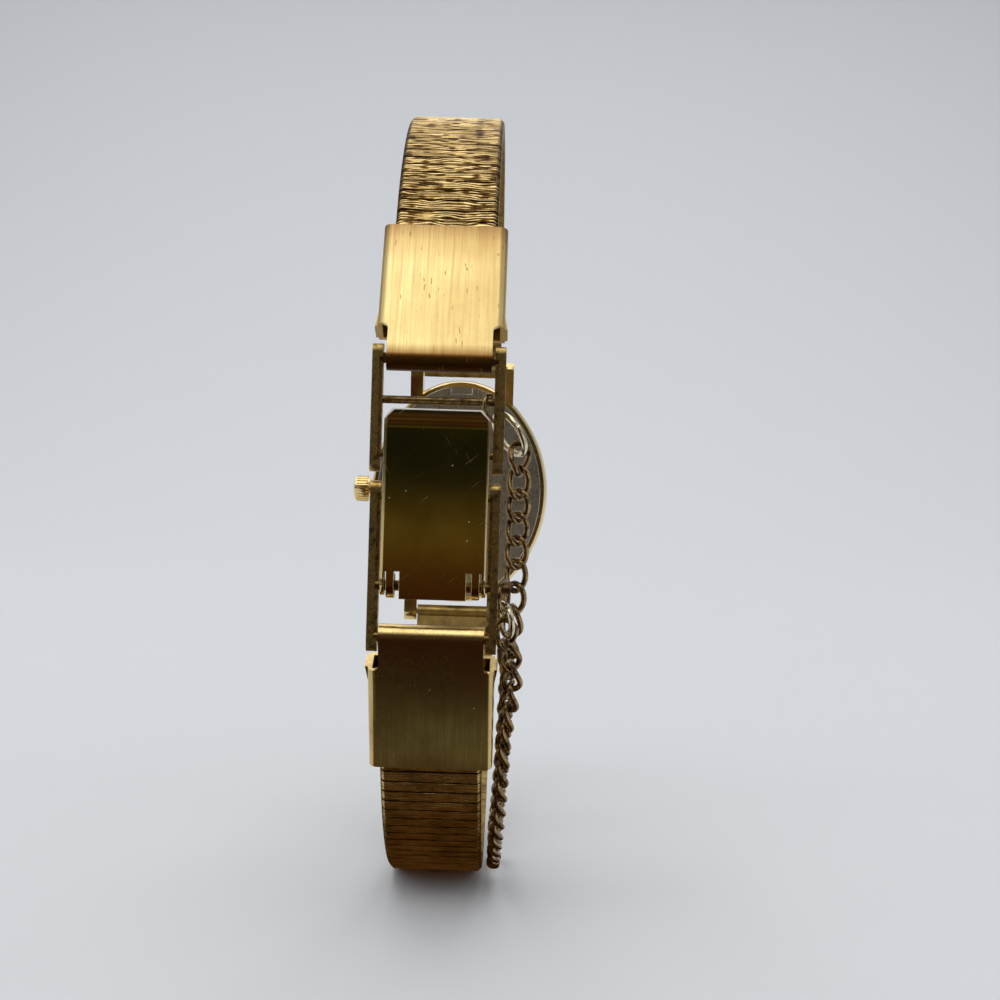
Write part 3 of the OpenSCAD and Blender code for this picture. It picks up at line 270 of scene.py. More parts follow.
def lamp(name, at, look_at, size, power, colour):
    """A rectangular soft lamp that faces a point."""
    data = bpy.data.lights.new(name, "AREA")
    data.shape = "RECTANGLE"
    data.size, data.size_y = size
    data.energy = power
    data.color = colour
    made = bpy.data.objects.new(name, data)
    scene.collection.objects.link(made)
    turn = (Vector(look_at) - Vector(at)).to_track_quat("-Z", "Y").to_matrix().to_4x4()
    made.matrix_world = Matrix.Translation(at) @ turn


warm, plain, cool = (1.0, 0.98, 0.95), (1.0, 0.99, 0.97), (0.95, 0.98, 1.0)
lamp("high_front_lamp", (-0.16, -0.50, 0.74), (0, -0.02, 0), (0.70, 0.34), 0.95, warm)
lamp("top_lamp", (-0.05, 0.0, 0.95), (0, 0, 0), (0.9, 0.7), 1.7, plain)
lamp("left_lamp", (-0.9, -0.3, 0.25), (0, -0.01, 0), (0.5, 0.8), 1.0, cool)
lamp("right_lamp", (0.9, -0.15, 0.2), (0, -0.01, 0), (0.25, 0.8), 0.5, warm)
lamp("back_lamp", (0.0, 0.7, 0.75), (0, 0, 0), (0.9, 0.6), 2.0, (0.98, 0.98, 1.0))

# Worn metals. The clasp, band and case are gold over brass, and the case back and small screws
# are steel. Each takes its colour, roughness and fine relief from the same few effects: tarnish,
# brushing, scratches and dust, which are node groups, and the upper cap a painted shade as well.


def group(name, inputs, outputs):
    """A new node group with named float, colour or vector sockets."""
    made = bpy.data.node_groups.new(name, "ShaderNodeTree")
    for label, kind, value in inputs:
        socket = made.interface.new_socket(name=label, in_out="INPUT",
                                           socket_type="NodeSocket" + kind)
        if value is not None:
            socket.default_value = value
    for label, kind in outputs:
        made.interface.new_socket(name=label, in_out="OUTPUT", socket_type="NodeSocket" + kind)
    return made, made.nodes.new("NodeGroupInput").outputs, made.nodes.new("NodeGroupOutput").inputs


def use(tree, made, inputs):
    """Places a node group in a tree with its own values."""
    node = tree.nodes.new("ShaderNodeGroup")
    node.node_tree = made
    for name, value in inputs.items():
        if isinstance(value, bpy.types.NodeSocket):
            tree.links.new(value, node.inputs[name])
        else:
            node.inputs[name].default_value = value
    return node


def noise(tree, at, scale, detail, roughness=0.5):
    """Cloudy noise from 0 to 1 at a place."""
    return place(tree, "TexNoise", {
        "Vector": at, "Scale": scale, "Detail": detail, "Roughness": roughness}).outputs["Fac"]


def mix(tree, share, start, end, blend="MIX"):
    """A colour mixed from two by a share."""
    return place(tree, "Mix", {"Factor": share, "A": start, "B": end}, data_type="RGBA",
                 blend_type=blend).outputs["Result"]


# Tarnish is soft clouds and small dark specks, from two noises at different scales
tarnish, given, result = group("tarnish", [
    ("At", "Vector", None), ("Clean", "Color", None), ("Dull", "Color", None),
    ("Cloud Size", "Float", 900.0), ("Speck Size", "Float", 4000.0), ("Specks", "Float", 0.3)],
    [("Color", "Color"), ("Mask", "Float")])
clouds = noise(tarnish, given["At"], given["Cloud Size"], 5.0, 0.6)
specks = noise(tarnish, given["At"], given["Speck Size"], 3.0, 0.7)
speck_share = math_of(tarnish, "MULTIPLY", remap(tarnish, specks, 0.62, 0.74), given["Specks"])
dull_share = math_of(tarnish, "MAXIMUM", remap(tarnish, clouds, 0.40, 0.68), speck_share,
                     clamp=True)
tarnish.links.new(mix(tarnish, dull_share, given["Clean"], given["Dull"]), result["Color"])
tarnish.links.new(dull_share, result["Mask"])

# Brushing is a noise drawn out into long thin streaks along Y
brushing, given, result = group("brushing", [
    ("At", "Vector", None), ("Across", "Float", 5200.0), ("Along", "Float", 130.0)],
    [("Height", "Float")])
stretch = place(brushing, "CombineXYZ", {
    "X": given["Across"], "Y": given["Along"], "Z": given["Across"]})
drawn_out = place(brushing, "VectorMath", {0: given["At"], 1: stretch.outputs[0]},
                  operation="MULTIPLY")
brushing.links.new(noise(brushing, drawn_out.outputs[0], 1.0, 4.0, 0.65), result["Height"])

# A scratch is the peak of a noise that is drawn out along one direction and turned
peak_steepness = 30.0
scratches, given, result = group("scratches", [
    ("At", "Vector", None), ("Turn", "Float", 0.4), ("Scale", "Float", 16000.0),
    ("Stretch", "Float", 0.02), ("Level", "Float", 0.76)], [("Mask", "Float")])
turned = place(scratches, "VectorRotate", {
    "Vector": given["At"], "Axis": (0, 1, 0), "Angle": given["Turn"]})
pull = place(scratches, "CombineXYZ", {"X": 1.0, "Y": 0.05, "Z": given["Stretch"]})
pulled = place(scratches, "VectorMath", {0: turned.outputs[0], 1: pull.outputs[0]},
               operation="MULTIPLY")
past_level = math_of(scratches, "SUBTRACT",
                     noise(scratches, pulled.outputs[0], given["Scale"], 1.0), given["Level"])
scratches.links.new(math_of(scratches, "MULTIPLY", past_level, peak_steepness, clamp=True),
                    result["Mask"])

# Dust is a small round grain in a few of the cells of a pattern
dust, given, result = group("dust", [
    ("At", "Vector", None), ("Scale", "Float", 1500.0), ("Grain", "Float", 0.06),
    ("Kept", "Float", 0.8)], [("Mask", "Float")])
cells = place(dust, "TexVoronoi", {
    "Vector": given["At"], "Scale": given["Scale"], "Randomness": 1.0}).outputs
in_grain = math_of(dust, "LESS_THAN", cells["Distance"], given["Grain"])
cell_tone = place(dust, "SeparateColor", {0: cells["Color"]}).outputs[0]
cell_kept = math_of(dust, "GREATER_THAN", cell_tone, given["Kept"])
dust.links.new(math_of(dust, "MULTIPLY", in_grain, cell_kept), result["Mask"])

scuff_colour = (0.30, 0.18, 0.05, 1)
scuff_depth = 0.003
scratch_rough = 0.3
grain_colour = (0.9, 0.88, 0.8, 1)
# Relief heights are in millimetres
bump_unit = 0.001


def metal(name, clean, dull, rough, dull_rough, cloud=900.0, speck=4000.0, specks=0.3,
          grit=0.0, grit_scale=6000.0, streak=0.0, streak_rough=0.0, streak_tone=0.0, lean_x=0.0,
          painted_shade=None, scuff=0.0, scratch=0.0, grains=0.0):
    """A worn metal. Tarnish mixes the clean and dull colours and roughnesses, at the scales of
    its clouds and specks. Grit is fine relief. Streaks are brushing along Z leant about X by an
    angle, and add relief, roughness and tone. A painted shade is a start, an end and stops of
    colour along the brushing, which darken the metal where it is bent or covered, as shade falls
    there. Scuffs are short dark marks, scratches are fine and cross each other, and grains are
    the share of dusty cells."""
    made, tree, output = material(name)
    at = place(tree, "TexCoord").outputs["Object"]
    stain = use(tree, tarnish, {"At": at, "Clean": (*clean, 1), "Dull": (*dull, 1),
                                "Cloud Size": cloud, "Speck Size": speck, "Specks": specks})
    colour = stain.outputs["Color"]
    roughness = remap(tree, stain.outputs["Mask"], 0.0, 1.0, rough, dull_rough)
    height = math_of(tree, "MULTIPLY", noise(tree, at, grit_scale, 4.0), grit)
    if streak:
        turned = place(tree, "VectorRotate", {
            "Vector": at, "Axis": (1, 0, 0), "Angle": lean_x - math.pi / 2}).outputs[0]
        brushed = use(tree, brushing, {"At": turned}).outputs["Height"]
        height = math_of(tree, "MULTIPLY_ADD", brushed, streak, height)
        roughness = math_of(tree, "MULTIPLY_ADD", brushed, streak_rough, roughness)
        colour = mix(tree, remap(tree, brushed, 0.38, 0.66, 0.0, streak_tone), colour, (*dull, 1))
        if painted_shade:
            start, end, stops = painted_shade
            along_it = place(tree, "SeparateXYZ", {0: turned}).outputs["Y"]
            bands = ramp(tree, remap(tree, along_it, start, end), stops)
            colour = mix(tree, 1.0, colour, bands, blend="MULTIPLY")
    if scuff:
        marks = use(tree, scratches, {"At": at, "Turn": 0.06, "Scale": 5200.0, "Stretch": 0.22,
                                      "Level": 0.71}).outputs["Mask"]
        colour = mix(tree, math_of(tree, "MULTIPLY", marks, scuff), colour, scuff_colour)
        height = math_of(tree, "MULTIPLY_ADD", marks, -scuff_depth, height)
    if scratch:
        fine = use(tree, scratches, {"At": at, "Turn": 0.5}).outputs["Mask"]
        cross = use(tree, scratches, {"At": at, "Turn": -0.9, "Scale": 12000.0}).outputs["Mask"]
        both = math_of(tree, "MAXIMUM", fine, cross)
        roughness = math_of(tree, "MULTIPLY_ADD", both, scratch_rough, roughness, clamp=True)
        height = math_of(tree, "MULTIPLY_ADD", both, -scratch, height)
    if grains:
        dusty = use(tree, dust, {"At": at, "Kept": 1 - grains}).outputs["Mask"]
        colour = mix(tree, dusty, colour, grain_colour)
        roughness = math_of(tree, "MAXIMUM", roughness, dusty)
    relief = place(tree, "Bump", {"Height": height, "Strength": 1.0, "Distance": bump_unit})
    shader = place(tree, "BsdfPrincipled", {
        "Base Color": colour, "Metallic": 1.0, "Roughness": roughness,
        "Normal": relief.outputs["Normal"]})
    tree.links.new(shader.outputs[0], output.inputs[0])
    return made


# End caps. Each is one sheet of gold-faced metal folded round the band's end, with a tongue that
# is rolled round its pin. The upper one is brushed along the band, and the lower one is finer and
# nearly polished.
cap_lean = math.radians(26)
roll_end = -0.0021
band_end = 0.0104
# Painted shade along the upper cap: dark at the rolled end, and darker again towards the band's end
cap_painted_shade = [(0.0, (0.10, 0.05, 0.02)), (0.07, (0.30, 0.18, 0.08)), (0.15, (1, 1, 1)),
             (0.72, (1, 1, 1)), (0.88, (0.82, 0.74, 0.70)), (1.0, (0.50, 0.40, 0.36))]
sheet_edge = 1.5e-4
merge_reach = 1.5e-6
flat_turn = math.radians(0.6)
bevel_steps = 2
flat_weight = 90
brushed_gold = metal("brushed_gold", (0.86, 0.68, 0.31), (0.66, 0.47, 0.18), 0.26, 0.30,
                     cloud=110.0, speck=2600.0, specks=0.1, grit=0.0003, streak=0.010,
                     streak_rough=0.2, streak_tone=0.9, lean_x=cap_lean,
                     painted_shade=(roll_end, band_end, cap_painted_shade), scuff=0.8)
lower_brushed = metal("lower_brushed_gold", (0.84, 0.63, 0.27), (0.50, 0.35, 0.13), 0.17, 0.26,
                      cloud=160.0, speck=2600.0, specks=0.15, grit=0.0005, streak=0.0030,
                      streak_rough=0.08, streak_tone=0.6, lean_x=-cap_lean, grains=0.10)
body_of = {member: body for body, members in frame["record"]["behaviour"]["bodies"].items()
           for member in members}


def finished(node, paint, edge, sharp=32):
    """A copy of a CAD node with its corners broken by a small rounded bevel, as a worker eases
    them, shown in the node's place. Round faces are shaded smooth."""
    mesh = cad[node].data.copy()
    mesh.materials.clear()
    mesh.materials.append(paint)
    made = bpy.data.objects.new(node + "_finished", mesh)
    scene.collection.objects.link(made)
    work = bmesh.new()
    work.from_mesh(mesh)
    bmesh.ops.remove_doubles(work, verts=work.verts, dist=merge_reach)
    bmesh.ops.dissolve_limit(work, angle_limit=flat_turn, verts=work.verts, edges=work.edges)
    work.to_mesh(mesh)
    work.free()
    mesh.polygons.foreach_set("use_smooth", [True] * len(mesh.polygons))
    if edge:
        bevel = made.modifiers.new("eased_edges", "BEVEL")
        bevel.width = edge
        bevel.segments = bevel_steps
        bevel.limit_method = "ANGLE"
        bevel.angle_limit = math.radians(sharp)
        flat = made.modifiers.new("flat_faces", "WEIGHTED_NORMAL")
        flat.weight = flat_weight
        flat.keep_sharp = True
    else:
        mesh.set_sharp_from_angle(angle=math.radians(sharp))
    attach(made, body_of[node])
    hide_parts(node)
    return made


finished("upper_end_cap", brushed_gold, sheet_edge)
finished("lower_end_cap", lower_brushed, sheet_edge)

# Clasp frame. Two pairs of stamped rails turn on the caps' pins, and drawn bars are riveted
# between them. The gilding has aged to brown, most of all on the bars and pins.
aged_gold = metal("aged_gold", (0.56, 0.38, 0.12), (0.09, 0.055, 0.018), 0.26, 0.50,
                  cloud=1500.0, speck=7000.0, specks=0.8, grit=0.03, grit_scale=9000.0)
pin_gold = metal("pin_gold", (0.30, 0.19, 0.07), (0.05, 0.03, 0.014), 0.30, 0.6,
                 cloud=1800.0, speck=8000.0, specks=0.7, grit=0.02)


def paint_node(node, paint):
    """Gives a CAD node that stays in view its material."""
    mesh = cad[node].data
    mesh.materials.clear()
    mesh.materials.append(paint)


for node in ("upper_rails", "lower_rails"):
    finished(node, aged_gold, 8e-5)
for node in ("upper_cap_pin", "lower_cap_pin", "tie_bar", "lid_pin", "chain_bar", "catch_bar"):
    paint_node(node, pin_gold)

# Lid. It is a polished plate with rolled knuckles on its pin, and snaps over the upper frame's
# bar. Its long sides roll back a little, and a pale highlight is painted along its upper edge
# and clipped corners.
lid_half = 0.00395
lid_corner = 0.00075
highlight_width = 0.00011
side_roll = 0.00042
side_radius = 0.0016
highlight_colour = (0.97, 0.94, 0.86, 1)
highlight_rough = 0.45
mirror_gold = metal("mirror_gold", (0.82, 0.62, 0.27), (0.66, 0.49, 0.20), 0.07, 0.11,
                    cloud=240.0, speck=5200.0, specks=0.12, grit=0.0002, scratch=0.0006,
                    grains=0.30)
lid_piece = finished("clasp_lid", mirror_gold, sheet_edge)


def feed(shader, name):
    """The socket that feeds an input of a node."""
    return shader.inputs[name].links[0].from_socket


lid_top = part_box("clasp_lid")[1][2]
tree = mirror_gold.node_tree
shader = next(node for node in tree.nodes if node.type == "BSDF_PRINCIPLED")
relief = next(node for node in tree.nodes if node.type == "BUMP")
lid_at = place(tree, "SeparateXYZ", {0: place(tree, "TexCoord").outputs["Object"]}).outputs
aside = math_of(tree, "ABSOLUTE", lid_at["X"])
# The roll falls with the square of the way past its start, as a circle of its radius does
past_side = math_of(tree, "SUBTRACT", aside, lid_half - side_roll)
past_side = math_of(tree, "MAXIMUM", past_side, 0.0)
rolled = math_of(tree, "POWER", past_side, 2.0)
rolled = math_of(tree, "MULTIPLY_ADD", rolled, -1 / (2 * side_radius * bump_unit),
                 feed(relief, "Height"))
# Painted highlight: the upper edge and clipped corners are made pale and rougher
at_top = math_of(tree, "GREATER_THAN", lid_at["Z"], lid_top - highlight_width)
at_corner = math_of(tree, "GREATER_THAN", math_of(tree, "ADD", aside, lid_at["Z"]),
                    lid_half + lid_top - lid_corner - highlight_width)
at_edge = math_of(tree, "MAXIMUM", at_top, at_corner)
highlit_colour = mix(tree, at_edge, feed(shader, "Base Color"), highlight_colour)
edge_rough = math_of(tree, "MULTIPLY_ADD", at_edge, highlight_rough, feed(shader, "Roughness"))
tree.links.new(rolled, relief.inputs["Height"])
tree.links.new(highlit_colour, shader.inputs["Base Color"])
tree.links.new(edge_rough, shader.inputs["Roughness"])

# The upper end leans in over a wider and shallower curve than the flat blank is drawn with
lid_flat_top = 0.0052
lid_curve_l = 0.0015
blank_curve = 0.0024
worn_curve = 0.0070
lid_points = np.zeros(len(lid_piece.data.vertices) * 3)
lid_piece.data.vertices.foreach_get("co", lid_points)
lid_points = lid_points.reshape(-1, 3)
over = np.clip(lid_points[:, 2] - lid_flat_top, 0, lid_curve_l)
lid_points[:, 1] -= ((blank_curve - np.sqrt(blank_curve ** 2 - over ** 2))
                     - (worn_curve - np.sqrt(worn_curve ** 2 - over ** 2)))
lid_piece.data.vertices.foreach_set("co", lid_points.reshape(-1))
lid_piece.data.update()

# Band. Each half has 54 narrow links on pins, pressed with a bark pattern and gilded. The
# pattern is cut as real ridges over each link's outer face, and the hollows between are painted
# dark, as shade.
# The links' places are worked out as the band is laid out: from the cap's pin to the spring bar.
half_links = 54
segments = 6
segment_links = half_links // segments
link_pitch = 0.00104
skin_lengths = {"upper": 0.00102, "lower": 0.00096}
link_top = 0.00115
link_corner = 0.0003
band_half = 0.004
band_bulge = 0.1
cap_heading = math.radians(64)
lug_heading = math.radians(-72)
cap_pin_z = 0.01045
cap_anchor = 0.0100
pin_line = -0.0007
lug_link_l = 0.0018
spring_bar_z = 0.01275
spring_bar_h = 0.0011
rail_d = 0.0012
halvings = 50


def band_headings(skew):
    """Directions of one half's links from +Y. They fall evenly from the cap to the case, less a
    small sine that spares the ends, and a half sine skew closes the loop."""
    share = np.arange(half_links) / (half_links - 1)
    return (cap_heading - (cap_heading - lug_heading)
            * (share - band_bulge * np.sin(2 * np.pi * share) / (2 * np.pi))
            + skew * np.sin(np.pi * share))


cap_way = np.array([math.cos(cap_heading), math.sin(cap_heading)])
cap_out = np.array([-math.sin(cap_heading), math.cos(cap_heading)])
anchor = np.array([0, cap_pin_z]) + cap_anchor * cap_way + pin_line * cap_out
lug_rise = spring_bar_z - lug_link_l * math.sin(lug_heading)
# The skew that brings the last link to the lug's height is found by halving
low, high = -1.0, 1.0
for _ in range(halvings):
    skew = (low + high) / 2
    if anchor[1] + link_pitch * np.sin(band_headings(skew)).sum() > lug_rise:
        high = skew
    else:
        low = skew
headings = band_headings(skew)
steps = link_pitch * np.stack([np.cos(headings), np.sin(headings)], axis=1)
reach = anchor[0] + steps[:, 0].sum() + lug_link_l * math.cos(lug_heading)
opening_d = reach - spring_bar_h - rail_d / 2
clasp_y = -opening_d / 2 - rail_d / 2
pivots = np.concatenate([[anchor], anchor + np.cumsum(steps, axis=0)]) + [clasp_y, 0]

bark_rows = 96
bark_columns = 40
bark_height = 5.5e-5
bark_step = 0.000235
bark_wander = 0.00020
bark_sway = 1.3
# Each noise has a cell length across the band and one along it
wander_cell = (0.0012, 0.0009)
sway_cell = (0.0014, 0.0005)
streak_cell = (0.0010, 0.00013)
break_cell = (0.0007, 0.00022)
patch_cell = (0.0016, 0.0007)
lattice_shape = (256, 1024)
lattice_shift = 50.0
# Powers sharpen the waves and streaks, and gains and levels make a noise into marks
ridge_share = 0.72
ridge_power = 1.3
streak_share = 0.28
streak_power = 1.4
break_gain = 2.6
break_level = 0.45
break_floor = 0.30
patch_gain = 3
patch_level = 2.1
patch_height = 0.55


def streak_noise(x, s, length, width, seed):
    """Smooth noise of random numbers on a lattice, the same on each run, with cells of one length
    across the band and one width along it, blended by a smooth step in both directions."""
    u, v = x / length + lattice_shift, s / width + lattice_shift
    i, j = np.floor(u).astype(int), np.floor(v).astype(int)
    a, b = u - i, v - j
    a, b = a * a * (3 - 2 * a), b * b * (3 - 2 * b)
    table = np.random.default_rng(seed).random(lattice_shape)
    rows, columns = lattice_shape
    i0, i1, j0, j1 = i % rows, (i + 1) % rows, j % columns, (j + 1) % columns
    near = table[i0, j0] * (1 - a) + table[i1, j0] * a
    far = table[i0, j1] * (1 - a) + table[i1, j1] * a
    return near * (1 - b) + far * b


def bark(x, s, seed):
    """Bark relief from 0 to 1. A cosine wave across the ridges whose phase a noise shifts, with
    fine ridged streaks over it, broken by a further noise, and a few smooth patches."""
    wander = bark_wander * (streak_noise(x, s, *wander_cell, seed + 1) - 0.5)
    sway = bark_sway * streak_noise(x, s, *sway_cell, seed + 2)
    wave = 0.5 + 0.5 * np.cos(2 * np.pi * ((s + wander) / bark_step + sway))
    fine = 1 - np.abs(2 * streak_noise(x, s + wander, *streak_cell, seed + 3) - 1)
    breaks = streak_noise(x, s, *break_cell, seed + 4)
    patch = np.clip(patch_gain * streak_noise(x, s, *patch_cell, seed + 5) - patch_level, 0, 1)
    ridge = ridge_share * wave ** ridge_power + streak_share * fine ** streak_power
    whole = np.clip(break_gain * breaks - break_level, 0, 1)
    ridge = ridge * (break_floor + (1 - break_floor) * whole)
    return ridge * (1 - patch) + patch_height * patch


def skin_mesh(name, grids, relief=None):
    """A mesh from grids of points, shaped (pieces, rows, columns, 3), whose columns close into
    tubes. The first and last rows are closed by a fan to their middle."""
    count, rows, columns, _ = grids.shape
    points = grids.reshape(-1, 3)
    r, c = np.meshgrid(np.arange(rows - 1), np.arange(columns), indexing="ij")
    n = (c + 1) % columns
    quads = np.stack([r * columns + c, r * columns + n, (r + 1) * columns + n,
                      (r + 1) * columns + c], axis=-1).reshape(-1, 4)
    near = (np.arange(count) * rows * columns)[:, None]
    quads = (quads[None] + near[:, :, None]).reshape(-1, 4)
    far = near + (rows - 1) * columns
    k = np.arange(columns)
    next_k = (k + 1) % columns
    near_middle = np.broadcast_to(len(points) + np.arange(count)[:, None], (count, columns))
    far_middle = near_middle + count
    first = np.stack([near + k, near_middle, near + next_k], axis=-1).reshape(-1, 3)
    last = np.stack([far + next_k, far_middle, far + k], axis=-1).reshape(-1, 3)
    middles = np.concatenate([grids[:, 0].mean(axis=1), grids[:, -1].mean(axis=1)])
    points = np.concatenate([points, middles])
    loops = np.concatenate([quads.reshape(-1), first.reshape(-1), last.reshape(-1)])
    sizes = np.concatenate([np.full(len(quads), 4), np.full(len(first) + len(last), 3)])
    mesh = bpy.data.meshes.new(name)
    mesh.vertices.add(len(points))
    mesh.vertices.foreach_set("co", points.reshape(-1))
    mesh.loops.add(len(loops))
    mesh.loops.foreach_set("vertex_index", loops)
    mesh.polygons.add(len(sizes))
    mesh.polygons.foreach_set("loop_start", np.concatenate([[0], np.cumsum(sizes)[:-1]]))
    mesh.polygons.foreach_set("use_smooth", np.ones(len(sizes), bool))
    if relief is not None:
        ridge_lit_share = mesh.attributes.new("relief", "FLOAT", "POINT")
        ridge_lit_share.data.foreach_set("value", np.concatenate([relief.reshape(-1),
                                                        np.zeros(2 * count)]))
    mesh.update(calc_edges=True)
    return mesh


# The ridges are bright gold and the hollows painted dark as shade, by the mesh's relief share
bark_paint, tree, output = material("bark_gold")
at = place(tree, "TexCoord").outputs["Object"]
ridge_lit_share = place(tree, "Attribute", attribute_name="relief").outputs["Fac"]
crumbs = noise(tree, at, 7000.0, 5.0)
level = math_of(tree, "MULTIPLY_ADD", crumbs, 0.35, ridge_lit_share)
bark_colour = ramp(tree, level, [
    (0.22, (0.03, 0.012, 0.003)), (0.42, (0.14, 0.068, 0.014)), (0.62, (0.55, 0.35, 0.10)),
    (0.88, (0.92, 0.70, 0.32))])
tone = remap(tree, noise(tree, at, 500.0, 3.0), 0.35, 0.7, 0.0, 0.55)
bark_bump = place(tree, "Bump", {"Height": crumbs, "Strength": 0.6, "Distance": 2.2e-5})
shader = place(tree, "BsdfPrincipled", {
    "Base Color": mix(tree, tone, bark_colour, (0.24, 0.16, 0.06, 1), blend="MULTIPLY"),
    "Metallic": 1.0, "Roughness": remap(tree, level, 0.2, 0.9, 0.6, 0.24),
    "Normal": bark_bump.outputs["Normal"]})
tree.links.new(shader.outputs[0], output.inputs[0])
link_paint = metal("link_gold", (0.50, 0.34, 0.11), (0.20, 0.13, 0.045), 0.32, 0.5,
                   cloud=700.0, speck=6000.0, specks=0.5, grit=0.01)

seeds = {"upper": 10, "lower": 40}
# The lower half's hollows are painted with less shade
hollow_shade_lift = {"upper": 0.0, "lower": 0.45}
skin_margin = 2e-5
skin_rise = 1e-5
skin_wall = 1.2e-4
edge_drop = 3e-5
edge_share = 0.06
edge_low = 0.35
side_ease = 4e-4
side_low = 0.25
across = np.linspace(-band_half + skin_margin, band_half - skin_margin, bark_rows)
along = np.linspace(-0.5, 0.5, bark_columns)
# Towards a link's edges and the band's sides the ridges sink, by a quarter of a sine
edge = np.sin(np.pi / 2 * np.clip((0.5 - np.abs(along)) / edge_share, 0, 1))
side = np.sin(np.pi / 2 * np.clip((band_half - np.abs(across)) / side_ease, 0, 1))
ease = ((edge_low + (1 - edge_low) * edge)[None, :]
        * (side_low + (1 - side_low) * side)[:, None])
corner_cut = np.clip(np.abs(across) - band_half + link_corner, 0, None)
face = link_top + skin_rise - corner_cut[:, None] - edge_drop * (1 - edge)[None, :]
for half, mirror in (("upper", 1), ("lower", -1)):
    x, s = np.meshgrid(across, along * skin_lengths[half], indexing="ij")
    for segment in range(1, segments + 1):
        number = np.arange(segment_links) + (segments - segment) * segment_links
        height = np.stack([bark(x, s + i * link_pitch, seeds[half]) for i in number])
        outwards = face[None] + bark_height * height * ease
        top = np.stack([np.broadcast_to(s, height.shape), outwards], axis=-1)
        under = top[:, :, [-1, 0]]
        under[..., 1] = (face[:, [-1, 0]] - skin_wall)[None]
        section = np.concatenate([top, under], axis=2)
        cosine = np.cos(headings[number])[:, None, None]
        sine = np.sin(headings[number])[:, None, None]
        centre = (pivots[number] + pivots[number + 1])[:, None, None] / 2
        y = centre[..., 0] + section[..., 0] * cosine - section[..., 1] * sine
        z = centre[..., 1] + section[..., 0] * sine + section[..., 1] * cosine
        grid = np.stack([np.broadcast_to(across[None, :, None], y.shape), y, mirror * z], axis=-1)
        # The mirrored half's columns run the other way, so that its faces point outwards
        # Painted shade: this share darkens the hollows, the links' edges and the band's sides
        ridge_lit = (hollow_shade_lift[half] + (1 - hollow_shade_lift[half]) * height) * ease
        ridge_lit = np.concatenate([ridge_lit, np.zeros(height.shape[:2] + (2,))], axis=2)[:, :, ::mirror]
        name = f"{half}_bark_{segment}"
        mesh = skin_mesh(name, grid[:, :, ::mirror], ridge_lit)
        mesh.materials.append(bark_paint)
        bark_piece = bpy.data.objects.new(name, mesh)
        scene.collection.objects.link(bark_piece)
        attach(bark_piece, body_of[f"{half}_links_{segment}"])
        paint_node(f"{half}_links_{segment}", link_paint)
    paint_node(f"{half}_end_link", link_paint)

# Safety chain. Its curb links are bent from antique bronze wire and twisted so that they lie
# flat, each through the next.
wire_r = 0.00023
link_half_w = 0.00072
link_half_l = 0.00118
link_lift = 0.0019 / 5.4
loop_steps = 56
wire_sides = 14
same_point = 1e-6
chain_bronze = metal("antique_bronze", (0.40, 0.265, 0.115), (0.04, 0.026, 0.016), 0.13, 0.38,
                     cloud=1300.0, speck=7000.0, specks=0.6, grit=0.010, grit_scale=5000.0)


def unit(v):
    """The vector divided by its length, along the last axis."""
    return v / np.linalg.norm(v, axis=-1, keepdims=True)


def solids_of(node):
    """The points of each separate solid of a CAD node. Points that round to the same place are
    one, and labels spread along the edges until each solid has one label."""
    mesh = cad[node].data
    points = np.zeros(len(mesh.vertices) * 3)
    mesh.vertices.foreach_get("co", points)
    points = points.reshape(-1, 3)
    ends = np.zeros(len(mesh.edges) * 2, int)
    mesh.edges.foreach_get("vertices", ends)
    same = np.unique(np.round(points / same_point), axis=0, return_inverse=True)[1].reshape(-1)
    ends = same[ends.reshape(-1, 2)]
    label = np.arange(same.max() + 1)
    while True:
        lowest = np.minimum(label[ends[:, 0]], label[ends[:, 1]])
        spread = label.copy()
        np.minimum.at(spread, ends[:, 0], lowest)
        np.minimum.at(spread, ends[:, 1], lowest)
        spread = spread[spread]
        if (spread == label).all():
            break
        label = spread
    groups = label[same]
    return [points[groups == g] for g in np.unique(groups)]


def own_frame(points):
    """The middle of a solid's points and its long, wide and thin directions, right handed."""
    middle = np.unique(np.round(points / same_point), axis=0).mean(axis=0) * same_point
    spread = points - middle
    _, ways = np.linalg.eigh(spread.T @ spread)
    long, wide = ways[:, 2], ways[:, 1]
    return middle, long, wide, np.cross(wide, long)


def wire(line, way, thickness, sides):
    """A round wire along a line. At each point of the line a circle stands across the line's
    direction, and its first axis leans away from the middle of the loop."""
    centre = line.mean(axis=-2, keepdims=True)
    way = unit(way)
    out = line - centre
    out = unit(out - (out * way).sum(axis=-1, keepdims=True) * way)
    up = np.cross(way, out)
    angle = np.linspace(0, 2 * np.pi, sides, endpoint=False)
    circle = (np.cos(angle)[:, None] * out[..., None, :]
              + np.sin(angle)[:, None] * up[..., None, :])
    return line[..., None, :] + thickness * circle


def torus_mesh(name, tubes):
    """A mesh from closed tubes of points, shaped (pieces, round the loop, round the wire, 3)."""
    count, rows, columns, _ = tubes.shape
    r, c = np.meshgrid(np.arange(rows), np.arange(columns), indexing="ij")
    next_r, next_c = (r + 1) % rows, (c + 1) % columns
    quads = np.stack([r * columns + c, next_r * columns + c, next_r * columns + next_c,
                      r * columns + next_c], axis=-1).reshape(-1, 4)
    quads = (quads[None] + (np.arange(count) * rows * columns)[:, None, None]).reshape(-1, 4)
    mesh = bpy.data.meshes.new(name)
    mesh.vertices.add(count * rows * columns)
    mesh.vertices.foreach_set("co", tubes.reshape(-1))
    mesh.loops.add(quads.size)
    mesh.loops.foreach_set("vertex_index", quads.reshape(-1))
    mesh.polygons.add(len(quads))
    mesh.polygons.foreach_set("loop_start", np.arange(len(quads)) * 4)
    mesh.polygons.foreach_set("use_smooth", np.ones(len(quads), bool))
    mesh.update(calc_edges=True)
    return mesh


def add_wire(name, mesh, paint, node):
    """Puts a wire's mesh in the scene in place of its CAD node, with its material."""
    mesh.materials.append(paint)
    made = bpy.data.objects.new(name, mesh)
    scene.collection.objects.link(made)
    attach(made, body_of[node])
    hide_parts(node)


